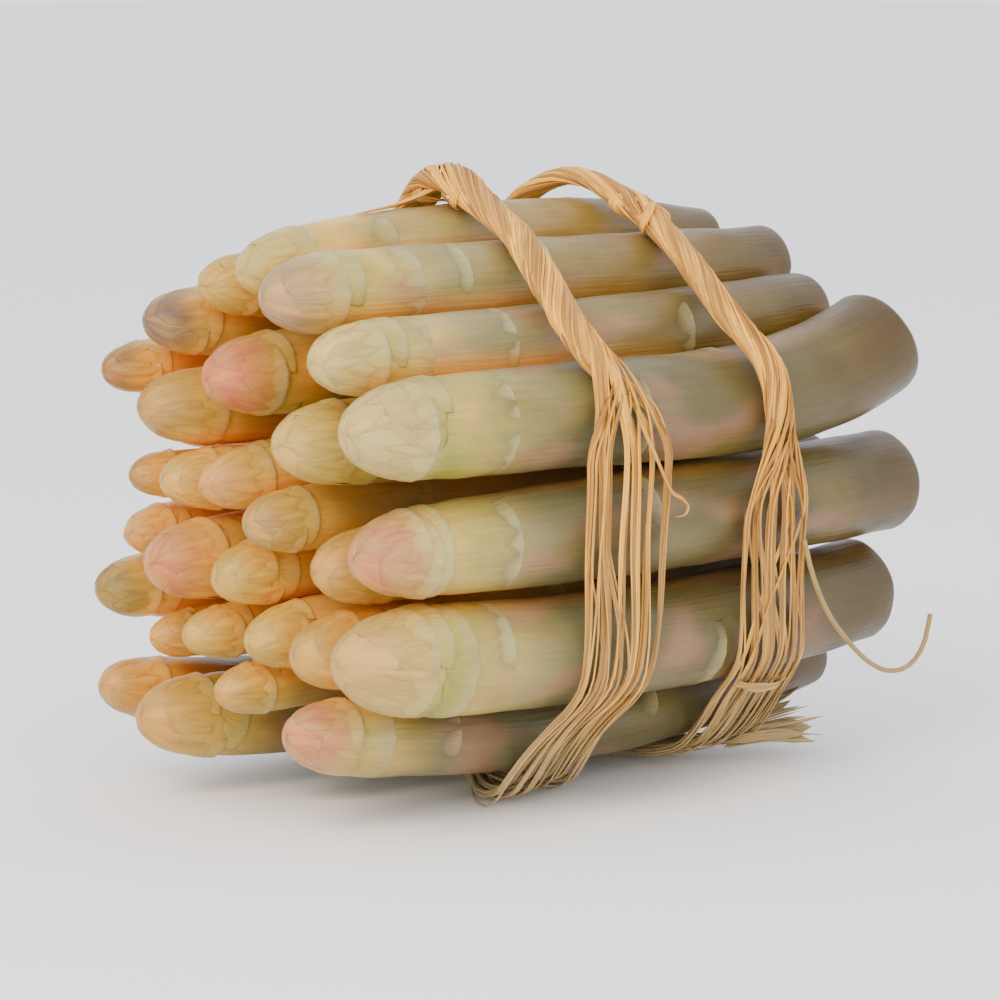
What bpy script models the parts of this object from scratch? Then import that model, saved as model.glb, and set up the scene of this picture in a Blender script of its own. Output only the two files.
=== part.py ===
"""Tied bundle of white asparagus, lying down.

Frame: +Z up, X along the spears (tips toward -X, cut ends toward +X), the near side of the
bundle toward -Y. The origin is under the middle of the whole object, on the floor.
Lengths in the tables are millimetres; the finished meshes are in metres.
"""
import math

import bmesh
import bpy
import numpy as np
from mathutils import Matrix, Vector

MM = 0.001

# General sizes
GAP_BETWEEN_SPEARS = 0.75
FLOOR_UNDER_SPEARS = 3.6
BUNDLE_MIDDLE_Y = 0.0
BUNDLE_MIDDLE_Z = 72.0
SIDES = 12
SCALES_PER_WHORL = 3
BUD_LENGTH_IN_RADII = 2.1
BUD_BLUNTNESS = 2.2
THICKENING_LENGTH_SHARE = 0.55
THICKENING_POWER = 0.8
CUT_RIM = 0.9

# One row for each spear: name, tip x, tip y, tip z, cut x, bud radius, butt radius,
# middle (y, z) and cut (y, z), or None where the neighbours decide the place.
SPEARS = (
    ("spear_01", -82, 5, 121, 64, 8.0, 8.5, (4, 125), (5, 119)),
    ("spear_02", -90, -10, 118, 68, 9.5, 9.2, (-15, 117), (-16, 114)),
    ("spear_03", -90, -26, 105, 63, 8.6, 9.4, (-32, 104), (-33, 105)),
    ("spear_04", -96, -43, 91, 65.5, 11.4, 12.2, (-47, 90.4), (-48, 90)),
    ("spear_05", -92, -41, 64, 73, 10.2, 12.0, (-47, 64.7), (-48, 66)),
    ("spear_06", -95, -39, 42, 68.5, 12.4, 12.2, (-44, 37), (-44, 40)),
    ("spear_07", -93, -21, 24, 71, 8.8, 9.2, (-24, 15.5), (-24, 23)),
    ("spear_08", -88, 48, 46, 62, 7.5, 8.6, None, None),
    ("spear_09", -88, 46, 98, 56, 6.1, 7.4, None, None),
    ("spear_10", -88, 45, 24, 60, 6.1, 7.0, (47, 15), (47, 15)),
    ("spear_11", -84, 43, 74, 60, 5.2, 6.8, None, None),
    ("spear_12", -84, 43, 60, 56, 6.1, 6.8, None, None),
    ("spear_13", -90, 33, 21, 62, 9.7, 9.6, (31, 14), (31, 14)),
    ("spear_14", -88, 33, 88, 60, 9.0, 9.2, None, None),
    ("spear_15", -85, 33, 111, 58, 7.8, 8.2, None, None),
    ("spear_16", -80, 40, 36, 58, 5.7, 6.4, None, None),
    ("spear_17", -92, 23, 57, 64, 9.6, 10.0, None, None),
    ("spear_18", -86, 28, 71, 60, 7.2, 7.8, None, None),
    ("spear_19", -86, 22, 41, 62, 6.3, 7.4, None, None),
    ("spear_20", -88, 12, 74, 60, 7.3, 7.8, None, None),
    ("spear_21", -88, 10, 99, 62, 9.5, 9.8, None, None),
    ("spear_22", -80, 19, 119, 58, 7.3, 8.2, None, None),
    ("spear_23", -88, 6, 49, 66, 7.7, 8.4, None, None),
    ("spear_24", -88, 6, 29, 64, 6.0, 7.2, None, None),
    ("spear_25", -88, -3, 67, 66, 7.4, 8.6, None, None),
    ("spear_26", -86, -1, 42, 62, 7.7, 8.0, None, None),
    ("spear_27", -90, -16, 86, 64, 9.7, 10.2, None, None),
    ("spear_28", -88, -17, 42, 66, 9.3, 9.0, None, None),
    ("spear_29", -84, -21, 58, 72, 8.9, 9.0, (-22, 60), (-26.5, 66.5)),
    ("spear_30", -70, -6, 101, 60, 6.0, 7.0, None, None),
    ("spear_31", -68, 4, 14, 60, 6.0, 7.4, (3, 11), (3, 11)),
    ("spear_32", -68, 43, 82, 56, 6.6, 7.4, None, None),
)
# The big near spear lifts at its cut end, from this share of its length on.
LIFTING_SPEAR = "spear_04"
LIFT_FROM = 0.7
LIFT_HEIGHT = 12.0

# Knots of each centre line, as shares of the spear's length
KNOTS = np.linspace(0.0, 1.0, 3)

# Settling the bundle
SETTLE_ROUNDS = 1100
SHARE_WITH_PULL = 0.4
PULL_HOME = 0.015
PLACED_SPEAR_PULL = 0.1
PULL_INWARD = 0.003
PUSH_STRENGTH = 0.6
PLACED_SPEAR_MOVES = 0.35
FLOOR_STRENGTH = 0.4
STATION_STEP = 6.0

# Scale leaves: distance of each free edge from the tip, depth of the step, pointedness
BUD_WHORLS_IN_RADII = (0.42, 1.0, 1.75)
BUD_POINT_IN_RADII = 0.2
BUD_STEP = 0.55
STEP_RUN = 0.35
TIP_RING_IN_RADII = 0.13
BUD_END_RING_IN_RADII = 2.5
BUD_END_SINK = 0.1
SHAFT_LEAVES = (38.0, 60.0)
SHAFT_LEAF_SPREAD = 6.0
SHAFT_LEAF_POINT = 1.6
SHAFT_STEP = 0.45
SHAFT_RINGS = (76.0, 100.0, 124.0)
LAST_RING_FROM_CUT = 20.0
LIFT_RINGS_FROM_CUT = (32.0, 16.0)

# Raffia ties: x of the middle of the band by direction round the bundle,
# in the order top, near side, bottom, far side
FRONT_TIE_X = (-17.0, -27.0, -18.0, -18.0)
FRONT_TIE_WIDTH = (13.0, 21.0, 15.0, 15.0)
FRONT_TIE_THICKNESS = (6.5, 2.3, 5.0, 2.3)
REAR_TIE_X = (27.0, 24.5, 31.0, 27.0)
REAR_TIE_WIDTH = (11.0, 15.5, 17.0, 13.0)
REAR_TIE_THICKNESS = (5.5, 2.3, 3.6, 2.3)
TIE_CLEARANCE = 0.8
TIE_POINTS = 72
STRANDS = 5
STRAND_GROOVE = 1.2
STRAND_WAVES = 9
CROWN_FALL = 1.5
THINNEST = 0.7

# Frayed flat end of the rear tie, lying under the near cut ends
TAIL_START = (39.8, -27.0, 5.0)
TAIL_END = (62.5, -39.0, 8.0)
TAIL_WIDTH_START = 9.0
TAIL_WIDTH_END = 17.0
TAIL_THICKNESS = 2.0
TAIL_ARCH = 1.5
TAIL_FRAY = 5.0

# Loose strand: places that its middle line passes through, its thickness and point spacing
LOOSE_STRAND_ROUTE = (
    (27.5, -63.6, 58.0),
    (30.0, -64.4, 49.0),
    (34.5, -64.9, 40.5),
    (41.0, -65.0, 33.5),
    (49.0, -64.5, 27.5),
    (57.5, -63.5, 24.0),
    (66.0, -62.5, 24.0),
    (72.5, -61.5, 28.0),
    (75.5, -61.0, 35.0),
)
LOOSE_STRAND_THICKNESS = 1.2
LOOSE_STRAND_POINTS = 24


def start_empty():
    for thing in list(bpy.data.objects):
        bpy.data.objects.remove(thing)


def make_material(name, colour, roughness):
    material = bpy.data.materials.new(name)
    material.use_nodes = True
    shader = material.node_tree.nodes["Principled BSDF"]
    shader.inputs["Base Color"].default_value = (*colour, 1.0)
    shader.inputs["Roughness"].default_value = roughness
    material.diffuse_color = (*colour, 1.0)
    return material


def knot_weights(share):
    """Weights of the knots of a centre line at shares of its length."""
    share = np.asarray(share, float)
    weights = np.ones(share.shape + (len(KNOTS),))
    for k, knot in enumerate(KNOTS):
        for other in np.delete(KNOTS, k):
            weights[..., k] *= (share - other) / (knot - other)
    return weights


def lift(name, share):
    """Extra height of the spear with the lifted cut end."""
    if name != LIFTING_SPEAR:
        return 0.0
    past = max(float(share) - LIFT_FROM, 0.0) / (1.0 - LIFT_FROM)
    return LIFT_HEIGHT * past * past


def outer_radius(distance, length, bud_radius, butt_radius):
    """Radius over the scale leaves at a distance from the tip."""
    bud_length = BUD_LENGTH_IN_RADII * bud_radius
    along = np.clip((distance - bud_length) / (THICKENING_LENGTH_SHARE * length), 0.0, 1.0)
    shaft = bud_radius + (butt_radius - bud_radius) * along ** THICKENING_POWER
    inside_bud = np.clip(distance / bud_length, 0.0, 1.0)
    blunt = np.sqrt(np.clip(1.0 - (1.0 - inside_bud) ** BUD_BLUNTNESS, 0.0, 1.0))
    return np.where(distance < bud_length, bud_radius * blunt, shaft)


def first_places():
    """Knots of every spear before the bundle settles, as (y, z)."""
    middle = np.array([BUNDLE_MIDDLE_Y, BUNDLE_MIDDLE_Z])
    places = np.zeros((len(SPEARS), len(KNOTS), 2))
    for number, row in enumerate(SPEARS):
        _, _, tip_y, tip_z, _, _, _, mid, cut = row
        tip = np.array([tip_y, tip_z], float)
        half_way = np.array(mid, float) if mid else tip
        last = np.array(cut, float) if cut else middle + (tip - middle) * 1.02
        places[number] = (tip, half_way, last)
    return places


def settle(places):
    """Push touching spears apart and off the floor until nothing overlaps."""
    tip_x = np.array([row[1] for row in SPEARS], float)
    cut_x = np.array([row[4] for row in SPEARS], float)
    bud = np.array([row[5] for row in SPEARS], float)
    butt = np.array([row[6] for row in SPEARS], float)
    length = cut_x - tip_x
    home = places.copy()
    middle = np.array([BUNDLE_MIDDLE_Y, BUNDLE_MIDDLE_Z])
    first, second = np.triu_indices(len(SPEARS), 1)
    placed = np.array([row[7] is not None for row in SPEARS])
    moves = np.where(placed, PLACED_SPEAR_MOVES, 1.0)
    pull_home = np.where(placed, PLACED_SPEAR_PULL, PULL_HOME)[:, None, None]
    pull_inward = np.where(placed, 0.0, PULL_INWARD)[:, None, None]
    first_share = moves[first] / (moves[first] + moves[second])
    stations = []
    for x in np.arange(tip_x.min() + 2.0, cut_x.max() + 1.0, STATION_STEP):
        share = (x - tip_x) / length
        here = (share > 0.0) & (share <= 1.0)
        weights = knot_weights(share) * here[:, None]
        radius = outer_radius(x - tip_x, length, bud, butt)
        spread = weights / np.maximum(np.sum(weights * weights, axis=1), 0.2)[:, None]
        raised = np.array([lift(row[0], at) for row, at in zip(SPEARS, share)])
        stations.append((here, weights, radius, spread, raised))
    for turn in range(SETTLE_ROUNDS):
        if turn < SETTLE_ROUNDS * SHARE_WITH_PULL:
            places += pull_home * (home - places)
            places[:, 1:] += pull_inward * (middle - places[:, 1:])
        for here, weights, radius, spread, raised in stations:
            centre = np.einsum("ik,ikc->ic", weights, places)
            centre[:, 1] += raised
            apart = centre[second] - centre[first]
            distance = np.linalg.norm(apart, axis=1) + 1e-9
            wanted = radius[first] + radius[second] + GAP_BETWEEN_SPEARS
            short = np.where(here[first] & here[second], np.maximum(wanted - distance, 0.0), 0.0)
            push = (PUSH_STRENGTH * short / distance)[:, None] * apart
            move = np.zeros_like(centre)
            np.add.at(move, first, -push * first_share[:, None])
            np.add.at(move, second, push * (1.0 - first_share)[:, None])
            low = FLOOR_UNDER_SPEARS + radius - centre[:, 1]
            move[:, 1] += np.where(here & (low > 0.0), low * FLOOR_STRENGTH, 0.0)
            places += spread[:, :, None] * move[:, None, :]
    return places


class Spear:
    """Centre line and radius of one settled spear."""

    def __init__(self, row, knots):
        self.name = row[0]
        self.tip_x = float(row[1])
        self.length = float(row[4] - row[1])
        self.bud = row[5]
        self.butt = row[6]
        self.knots = knots

    def centre(self, distance):
        share = distance / self.length
        y, z = knot_weights(share) @ self.knots
        return Vector((self.tip_x + distance, float(y), float(z) + lift(self.name, share)))

    def radius(self, distance):
        return float(outer_radius(distance, self.length, self.bud, self.butt))

    def axes(self, distance):
        step = 0.5
        before = self.centre(max(distance - step, 0.0))
        after = self.centre(min(distance + step, self.length))
        forward = (after - before).normalized()
        side = Vector((0.0, 1.0, 0.0))
        side = (side - forward * side.dot(forward)).normalized()
        up = forward.cross(side)
        return forward, side, up


def spear_rings(spear, number):
    """Rings from the tip to the cut: distance, sink under the leaves, point length, leaf turn."""
    bud = spear.bud
    rings = [(TIP_RING_IN_RADII * bud, 0.0, 0.0, 0)]
    for whorl, place in enumerate(BUD_WHORLS_IN_RADII):
        point = BUD_POINT_IN_RADII * bud
        distance = place * bud
        turn = 2 * whorl + number
        rings.append((distance - STEP_RUN, BUD_STEP, point, turn))
        rings.append((distance, 0.0, point, turn))
    rings.append((BUD_END_RING_IN_RADII * bud, BUD_END_SINK, 0.0, 0))
    for leaf, place in enumerate(SHAFT_LEAVES):
        offset = SHAFT_LEAF_SPREAD * (((number * 5 + leaf * 3) % 7) / 3.0 - 1.0)
        distance = place + offset
        turn = 2 * leaf + number + 1
        rings.append((distance - STEP_RUN, SHAFT_STEP, SHAFT_LEAF_POINT, turn))
        rings.append((distance, 0.0, SHAFT_LEAF_POINT, turn))
    for distance in SHAFT_RINGS:
        if distance < spear.length - LAST_RING_FROM_CUT:
            rings.append((distance, 0.0, 0.0, 0))
    if spear.name == LIFTING_SPEAR:
        for from_cut in LIFT_RINGS_FROM_CUT:
            rings.append((spear.length - from_cut, 0.0, 0.0, 0))
    rings.append((spear.length - CUT_RIM, 0.0, 0.0, 0))
    rings.append((spear.length, CUT_RIM, 0.0, 0))
    return sorted(rings, key=lambda ring: ring[0])


def build_spear(spear, number, material):
    mesh = bmesh.new()
    per_leaf = SIDES // SCALES_PER_WHORL
    tip = mesh.verts.new(spear.centre(0.0) * MM)
    loops = []
    for distance, sink, point, turn in spear_rings(spear, number):
        loop = []
        for side_number in range(SIDES):
            angle = 2.0 * math.pi * side_number / SIDES
            place_in_leaf = (side_number + turn) % per_leaf
            from_edge = min(place_in_leaf, per_leaf - place_in_leaf) / (per_leaf / 2.0)
            here = distance + point * (0.5 - from_edge)
            here = min(max(here, 0.3), spear.length)
            radius = spear.radius(here) - sink
            forward, side, up = spear.axes(here)
            across = side * math.cos(angle) + up * math.sin(angle)
            loop.append(mesh.verts.new((spear.centre(here) + across * radius) * MM))
        loops.append(loop)
    for side_number in range(SIDES):
        after = (side_number + 1) % SIDES
        mesh.faces.new((tip, loops[0][after], loops[0][side_number]))
    for near, far in zip(loops, loops[1:]):
        for side_number in range(SIDES):
            after = (side_number + 1) % SIDES
            mesh.faces.new((near[side_number], near[after], far[after], far[side_number]))
    mesh.faces.new(list(reversed(loops[-1])))
    return finish_mesh(mesh, spear.name, material)


def finish_mesh(mesh, name, material):
    bmesh.ops.recalc_face_normals(mesh, faces=mesh.faces)
    data = bpy.data.meshes.new(name)
    mesh.to_mesh(data)
    mesh.free()
    data.materials.append(material)
    for polygon in data.polygons:
        polygon.use_smooth = len(polygon.vertices) == 4
    thing = bpy.data.objects.new(name, data)
    bpy.context.scene.collection.objects.link(thing)
    return thing


def outline_of_spears(spears, x_low, x_high, clearance):
    """Convex line round the spears, as (y, z), that holds for every x of a band."""
    points = []
    for x in np.linspace(x_low, x_high, 7):
        for spear in spears:
            distance = x - spear.tip_x
            if 0.0 < distance < spear.length:
                centre = spear.centre(distance)
                radius = spear.radius(distance) + clearance
                for step in range(36):
                    angle = 2.0 * math.pi * step / 36
                    y = centre.y + radius * math.cos(angle)
                    z = centre.z + radius * math.sin(angle)
                    points.append((y, z))
    points.sort()

    def half(run):
        chain = []
        for point in run:
            while len(chain) > 1 and turn_of(chain[-2], chain[-1], point) <= 0.0:
                chain.pop()
            chain.append(point)
        return chain

    lower = half(points)
    upper = half(reversed(points))
    return lower[:-1] + upper[:-1]


def turn_of(a, b, c):
    return (b[0] - a[0]) * (c[1] - a[1]) - (b[1] - a[1]) * (c[0] - a[0])


def reach(outline, angle, middle):
    """Distance from the middle to a convex outline in one direction."""
    direction = (math.cos(angle), math.sin(angle))
    best = 0.0
    for start, end in zip(outline, outline[1:] + outline[:1]):
        edge = (end[0] - start[0], end[1] - start[1])
        cross = direction[0] * edge[1] - direction[1] * edge[0]
        if abs(cross) < 1e-9:
            continue
        offset = (start[0] - middle[0], start[1] - middle[1])
        along = (offset[0] * edge[1] - offset[1] * edge[0]) / cross
        share = (offset[0] * direction[1] - offset[1] * direction[0]) / cross
        if along > 0.0 and -1e-9 <= share <= 1.0 + 1e-9:
            best = max(best, along)
    return best


def blend_round(values, angle):
    """Blend of the values at the top, near side, bottom and far side."""
    weights = (
        max(math.sin(angle), 0.0) ** 4,
        max(-math.cos(angle), 0.0) ** 2,
        max(-math.sin(angle), 0.0) ** 4,
        max(math.cos(angle), 0.0) ** 2,
    )
    return sum(w * v for w, v in zip(weights, values)) / sum(weights)


def build_tie(name, spears, middle_x, widths, thicknesses, material):
    low = min(middle_x) - 0.5 * max(widths)
    high = max(middle_x) + 0.5 * max(widths)
    outline = outline_of_spears(spears, low, high, TIE_CLEARANCE)
    middle = (BUNDLE_MIDDLE_Y, BUNDLE_MIDDLE_Z)
    mesh = bmesh.new()
    loops = []
    across_points = 2 * STRANDS + 1
    for step in range(TIE_POINTS):
        angle = 2.0 * math.pi * step / TIE_POINTS
        inner = reach(outline, angle, middle)
        thickness = blend_round(thicknesses, angle)
        width = blend_round(widths, angle)
        x = blend_round(middle_x, angle)
        direction = Vector((0.0, math.cos(angle), math.sin(angle)))
        centre = Vector((x, middle[0], middle[1]))
        twist = STRAND_GROOVE * 0.5 * math.sin(STRAND_WAVES * angle)
        loop = []
        for k in range(across_points):
            share = k / (across_points - 1) - 0.5
            groove = STRAND_GROOVE if k % 2 == 0 else 0.0
            crown = thickness * (1.0 - CROWN_FALL * share * share) - groove
            offset = Vector((share * width + twist, 0.0, 0.0))
            point = centre + offset + direction * (inner + max(crown, THINNEST))
            point.z = max(point.z, 0.0)
            loop.append(mesh.verts.new(point * MM))
        for share in (0.5, -0.5):
            offset = Vector((share * width + twist, 0.0, 0.0))
            point = centre + offset + direction * inner
            loop.append(mesh.verts.new(point * MM))
        loops.append(loop)
    size = len(loops[0])
    for near, far in zip(loops, loops[1:] + loops[:1]):
        for k in range(size):
            after = (k + 1) % size
            mesh.faces.new((near[k], near[after], far[after], far[k]))
    return finish_mesh(mesh, name, material)


def build_tail(material):
    """Flat frayed strands with grooves, wider and uneven at the free end."""
    mesh = bmesh.new()
    start = Vector(TAIL_START)
    end = Vector(TAIL_END)
    forward = (end - start).normalized()
    side = Vector((0.0, 0.0, 1.0)).cross(forward).normalized()
    up = forward.cross(side)
    across_points = 2 * STRANDS + 1
    loops = []
    for step in range(5):
        share_along = step / 4.0
        width = TAIL_WIDTH_START + (TAIL_WIDTH_END - TAIL_WIDTH_START) * share_along
        centre = start.lerp(end, share_along) + up * (TAIL_ARCH * math.sin(math.pi * share_along))
        loop = []
        for level in (0.5, -0.5):
            numbers = range(across_points) if level > 0 else range(across_points - 1, -1, -1)
            for k in numbers:
                share = k / (across_points - 1) - 0.5
                groove = STRAND_GROOVE * 0.6 if k % 2 == 0 else 0.0
                height = level * (TAIL_THICKNESS - groove)
                fray = TAIL_FRAY * share_along * math.sin(2.4 * k)
                point = centre + side * (share * width) + up * height + forward * fray
                loop.append(mesh.verts.new(point * MM))
        loops.append(loop)
    size = len(loops[0])
    for near, far in zip(loops, loops[1:]):
        for k in range(size):
            after = (k + 1) % size
            mesh.faces.new((near[k], near[after], far[after], far[k]))
    for loop in (loops[0], loops[-1]):
        for k in range(across_points - 1):
            mesh.faces.new((loop[k], loop[k + 1], loop[size - 2 - k], loop[size - 1 - k]))
    return finish_mesh(mesh, "tie_tail", material)


def smooth_route(places, count):
    """Evenly spaced points on a smooth curve through the given places."""
    spots = [np.array(place, float) for place in places]
    spots = [2.0 * spots[0] - spots[1]] + spots + [2.0 * spots[-1] - spots[-2]]
    fine = []
    for a, b, c, d in zip(spots, spots[1:], spots[2:], spots[3:]):
        for t in np.linspace(0.0, 1.0, 20, endpoint=False):
            fine.append(
                0.5 * (2.0 * b + (c - a) * t + (2.0 * a - 5.0 * b + 4.0 * c - d) * t * t
                       + (3.0 * b - a - 3.0 * c + d) * t ** 3)
            )
    fine.append(spots[-2])
    fine = np.array(fine)
    steps = np.linalg.norm(np.diff(fine, axis=0), axis=1)
    along = np.concatenate([[0.0], np.cumsum(steps)])
    wanted = np.linspace(0.0, along[-1], count)
    return [Vector([float(np.interp(w, along, fine[:, axis])) for axis in range(3)]) for w in wanted]


def build_loose_strand(material):
    curve = bpy.data.curves.new("loose_strand", "CURVE")
    curve.dimensions = "3D"
    curve.bevel_depth = 0.5 * LOOSE_STRAND_THICKNESS * MM
    curve.bevel_resolution = 2
    curve.use_fill_caps = True
    route = smooth_route(LOOSE_STRAND_ROUTE, LOOSE_STRAND_POINTS)
    spline = curve.splines.new("POLY")
    spline.points.add(len(route) - 1)
    for point, place in zip(spline.points, route):
        point.co = (*(place * MM), 1.0)
    curve.materials.append(material)
    thing = bpy.data.objects.new("loose_strand", curve)
    bpy.context.scene.collection.objects.link(thing)
    return thing


def put_origin_under_middle():
    """Shift every piece so that the origin is under the middle of the stiff pieces, on the floor."""
    low = Vector((1.0, 1.0, 1.0))
    high = -low
    for thing in bpy.data.objects:
        if thing.name == "loose_strand":
            continue
        for vertex in thing.data.vertices:
            low = Vector(map(min, low, vertex.co))
            high = Vector(map(max, high, vertex.co))
    shift = Vector((-0.5 * (low.x + high.x), -0.5 * (low.y + high.y), -low.z))
    print("shift to the origin in mm", [round(value / MM, 3) for value in shift])
    for thing in bpy.data.objects:
        if thing.name == "loose_strand":
            for point in thing.data.splines[0].points:
                point.co = (*(Vector(point.co[:3]) + shift), 1.0)
        else:
            thing.data.transform(Matrix.Translation(shift))


def main():
    start_empty()
    skin = make_material("spear_skin", (0.62, 0.50, 0.30), 0.45)
    raffia = make_material("dry_raffia", (0.62, 0.42, 0.20), 0.8)
    places = settle(first_places())
    spears = [Spear(row, knots) for row, knots in zip(SPEARS, places)]
    for number, spear in enumerate(spears):
        build_spear(spear, number, skin)
    build_tie("tie_front", spears, FRONT_TIE_X, FRONT_TIE_WIDTH, FRONT_TIE_THICKNESS, raffia)
    build_tie("tie_rear", spears, REAR_TIE_X, REAR_TIE_WIDTH, REAR_TIE_THICKNESS, raffia)
    build_tail(raffia)
    build_loose_strand(raffia)
    put_origin_under_middle()


main()
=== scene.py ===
# %% [markdown]
# # A tied bundle of white asparagus
# Thick white spears are packed side by side and held by two raffia ties. Each spear is one grown
# piece: a round shaft, a blunt bud and thin scale leaves pressed flat on both. The frame gives
# every spear and tie its place. This lesson dresses them with the fine forms and the finishes.

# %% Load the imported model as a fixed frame
import functools
import math
import random

import bmesh
import bpy
import numpy as np
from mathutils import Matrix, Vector, noise


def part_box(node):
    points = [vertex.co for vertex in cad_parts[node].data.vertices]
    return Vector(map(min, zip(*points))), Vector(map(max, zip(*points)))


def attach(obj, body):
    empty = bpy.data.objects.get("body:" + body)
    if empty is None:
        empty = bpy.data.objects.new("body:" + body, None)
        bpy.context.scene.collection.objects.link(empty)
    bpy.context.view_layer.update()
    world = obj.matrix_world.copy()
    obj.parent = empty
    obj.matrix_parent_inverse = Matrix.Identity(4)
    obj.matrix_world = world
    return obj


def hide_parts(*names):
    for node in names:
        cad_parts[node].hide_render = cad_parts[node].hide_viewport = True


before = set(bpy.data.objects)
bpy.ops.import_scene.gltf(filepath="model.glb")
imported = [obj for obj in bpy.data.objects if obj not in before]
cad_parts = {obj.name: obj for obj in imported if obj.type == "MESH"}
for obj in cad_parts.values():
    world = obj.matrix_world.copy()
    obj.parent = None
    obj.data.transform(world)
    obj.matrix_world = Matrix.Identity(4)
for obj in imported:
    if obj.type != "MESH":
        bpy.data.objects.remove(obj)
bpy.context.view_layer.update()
MM = 0.001
SPEARS = sorted(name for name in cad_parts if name.startswith("spear_"))
print(len(SPEARS), "spears in the frame")

# %% [markdown]
# ## The camera
# The photograph looks at the bundle from its tip end and near side at once, from just above table
# height and from a few steps away, so the lens is long and the spears hardly narrow with distance.
# A small shift places the bundle a little above and right of the middle of the picture.

# %% Camera at the photograph's viewing angle
AZIMUTH = math.radians(-45.0)
ELEVATION = math.radians(7.6)
DISTANCE = 1.090
TARGET = Vector((0.0113, 0.0039, 0.0725))

camera_data = bpy.data.cameras.new("camera")
camera_data.lens = 168.7
camera_data.sensor_width = 36.0
camera_data.shift_x = -0.021
camera_data.shift_y = -0.038
camera_data.clip_end = 20.0
camera = bpy.data.objects.new("camera", camera_data)
bpy.context.scene.collection.objects.link(camera)
towards_camera = Vector(
    (
        math.sin(AZIMUTH) * math.cos(ELEVATION),
        -math.cos(AZIMUTH) * math.cos(ELEVATION),
        math.sin(ELEVATION),
    )
)
camera.location = TARGET + DISTANCE * towards_camera
camera.rotation_euler = (-towards_camera).to_track_quat("-Z", "Y").to_euler()
bpy.context.scene.camera = camera
print("camera at", tuple(round(c, 3) for c in camera.location))

# %% [markdown]
# ## The loose strand
# One stiff fibre has worked loose from the rear tie. It hangs down past the cut ends and its dry
# tip curls up again. It is a free cord, so its length and its place are those of the frame, and
# it comes first, before the pieces that are fitted round it. A curve with a round bevel is enough
# for a fibre that is hardly more than a millimetre thick. The bevel is one metre deep and every
# point's radius scales it down to the fibre's, because the curve's box is measured with that radius.

# %% Route of the loose strand, the same as the frame's
LOOSE_STRAND_ROUTE = (
    (38.8, -59.7, 58.0),
    (41.3, -60.5, 49.0),
    (45.8, -61.0, 40.5),
    (52.3, -61.1, 33.5),
    (60.3, -60.6, 27.5),
    (68.8, -59.6, 24.0),
    (77.3, -58.6, 24.0),
    (83.8, -57.6, 28.0),
    (86.8, -57.1, 35.0),
)
LOOSE_STRAND_THICKNESS = 1.2
LOOSE_STRAND_POINTS = 24
STEPS_PER_STRETCH = 20


def smooth_route(places, count):
    """Evenly spaced points on a smooth curve through the given places, and its length"""
    spots = [np.array(place, float) for place in places]
    spots = [2.0 * spots[0] - spots[1]] + spots + [2.0 * spots[-1] - spots[-2]]
    fine = []
    for a, b, c, d in zip(spots, spots[1:], spots[2:], spots[3:]):
        for t in np.linspace(0.0, 1.0, STEPS_PER_STRETCH, endpoint=False):
            fine.append(
                0.5 * (2.0 * b + (c - a) * t + (2.0 * a - 5.0 * b + 4.0 * c - d) * t * t
                       + (3.0 * b - a - 3.0 * c + d) * t ** 3)
            )
    fine.append(spots[-2])
    fine = np.array(fine)
    along = np.concatenate([[0.0], np.cumsum(np.linalg.norm(np.diff(fine, axis=0), axis=1))])
    wanted = np.linspace(0.0, along[-1], count)
    points = [Vector([float(np.interp(w, along, fine[:, axis])) for axis in range(3)]) for w in wanted]
    return points, float(along[-1])


strand_points, strand_length = smooth_route(LOOSE_STRAND_ROUTE, LOOSE_STRAND_POINTS)
print("route of", round(strand_length, 1), "mm")

# %% Loose strand as a curve
strand_curve = bpy.data.curves.new("loose_fibre", "CURVE")
strand_curve.dimensions = "3D"
strand_curve.bevel_depth = 1.0
strand_curve.bevel_resolution = 3
strand_curve.use_fill_caps = True
strand_spline = strand_curve.splines.new("POLY")
strand_spline.points.add(len(strand_points) - 1)
for spline_point, place in zip(strand_spline.points, strand_points):
    spline_point.co = (*(place * MM), 1.0)
    spline_point.radius = 0.5 * LOOSE_STRAND_THICKNESS * MM
loose_fibre = bpy.data.objects.new("loose_fibre", strand_curve)
bpy.context.scene.collection.objects.link(loose_fibre)
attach(loose_fibre, "root")
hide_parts("loose_strand")
print("loose strand with", len(strand_points), "points")

# %% [markdown]
# ## Light and floor
# The bundle was photographed in soft, slightly warm light from the upper left. A large area lamp
# on that side gives the gentle shading on the buds, a weaker one next to the camera opens the gaps
# between the spears, and an even pale surrounding does the rest. The floor is plain and pale.

# %% Soft studio light and a plain pale floor


def linear(hex_colour):
    """Linear red, green and blue of an sRGB hex colour"""
    values = []
    for place in (1, 3, 5):
        value = int(hex_colour[place:place + 2], 16) / 255.0
        values.append(value / 12.92 if value <= 0.04045 else ((value + 0.055) / 1.055) ** 2.4)
    return np.array(values)


def opaque(hex_colour):
    """Linear red, green, blue and full alpha of an sRGB hex colour"""
    return (*linear(hex_colour), 1.0)


def add_lamp(name, place, size, power, colour):
    """Square area lamp that faces the bundle"""
    data = bpy.data.lights.new(name, "AREA")
    data.size = size
    data.energy = power
    data.color = linear(colour)
    lamp = bpy.data.objects.new(name, data)
    bpy.context.scene.collection.objects.link(lamp)
    lamp.location = place
    lamp.rotation_euler = (TARGET - Vector(place)).to_track_quat("-Z", "Y").to_euler()


world = bpy.data.worlds.new("pale surrounding")
bpy.context.scene.world = world
world.use_nodes = True
surrounding = world.node_tree.nodes["Background"]
surrounding.inputs["Color"].default_value = opaque("#f3f6ff")
surrounding.inputs["Strength"].default_value = 1.85
add_lamp("key lamp", (-1.1, -0.35, 0.95), 0.7, 18.0, "#fff1dc")
add_lamp("fill lamp", (-0.7, -1.0, 0.3), 1.0, 9.0, "#fff3e2")

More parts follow.
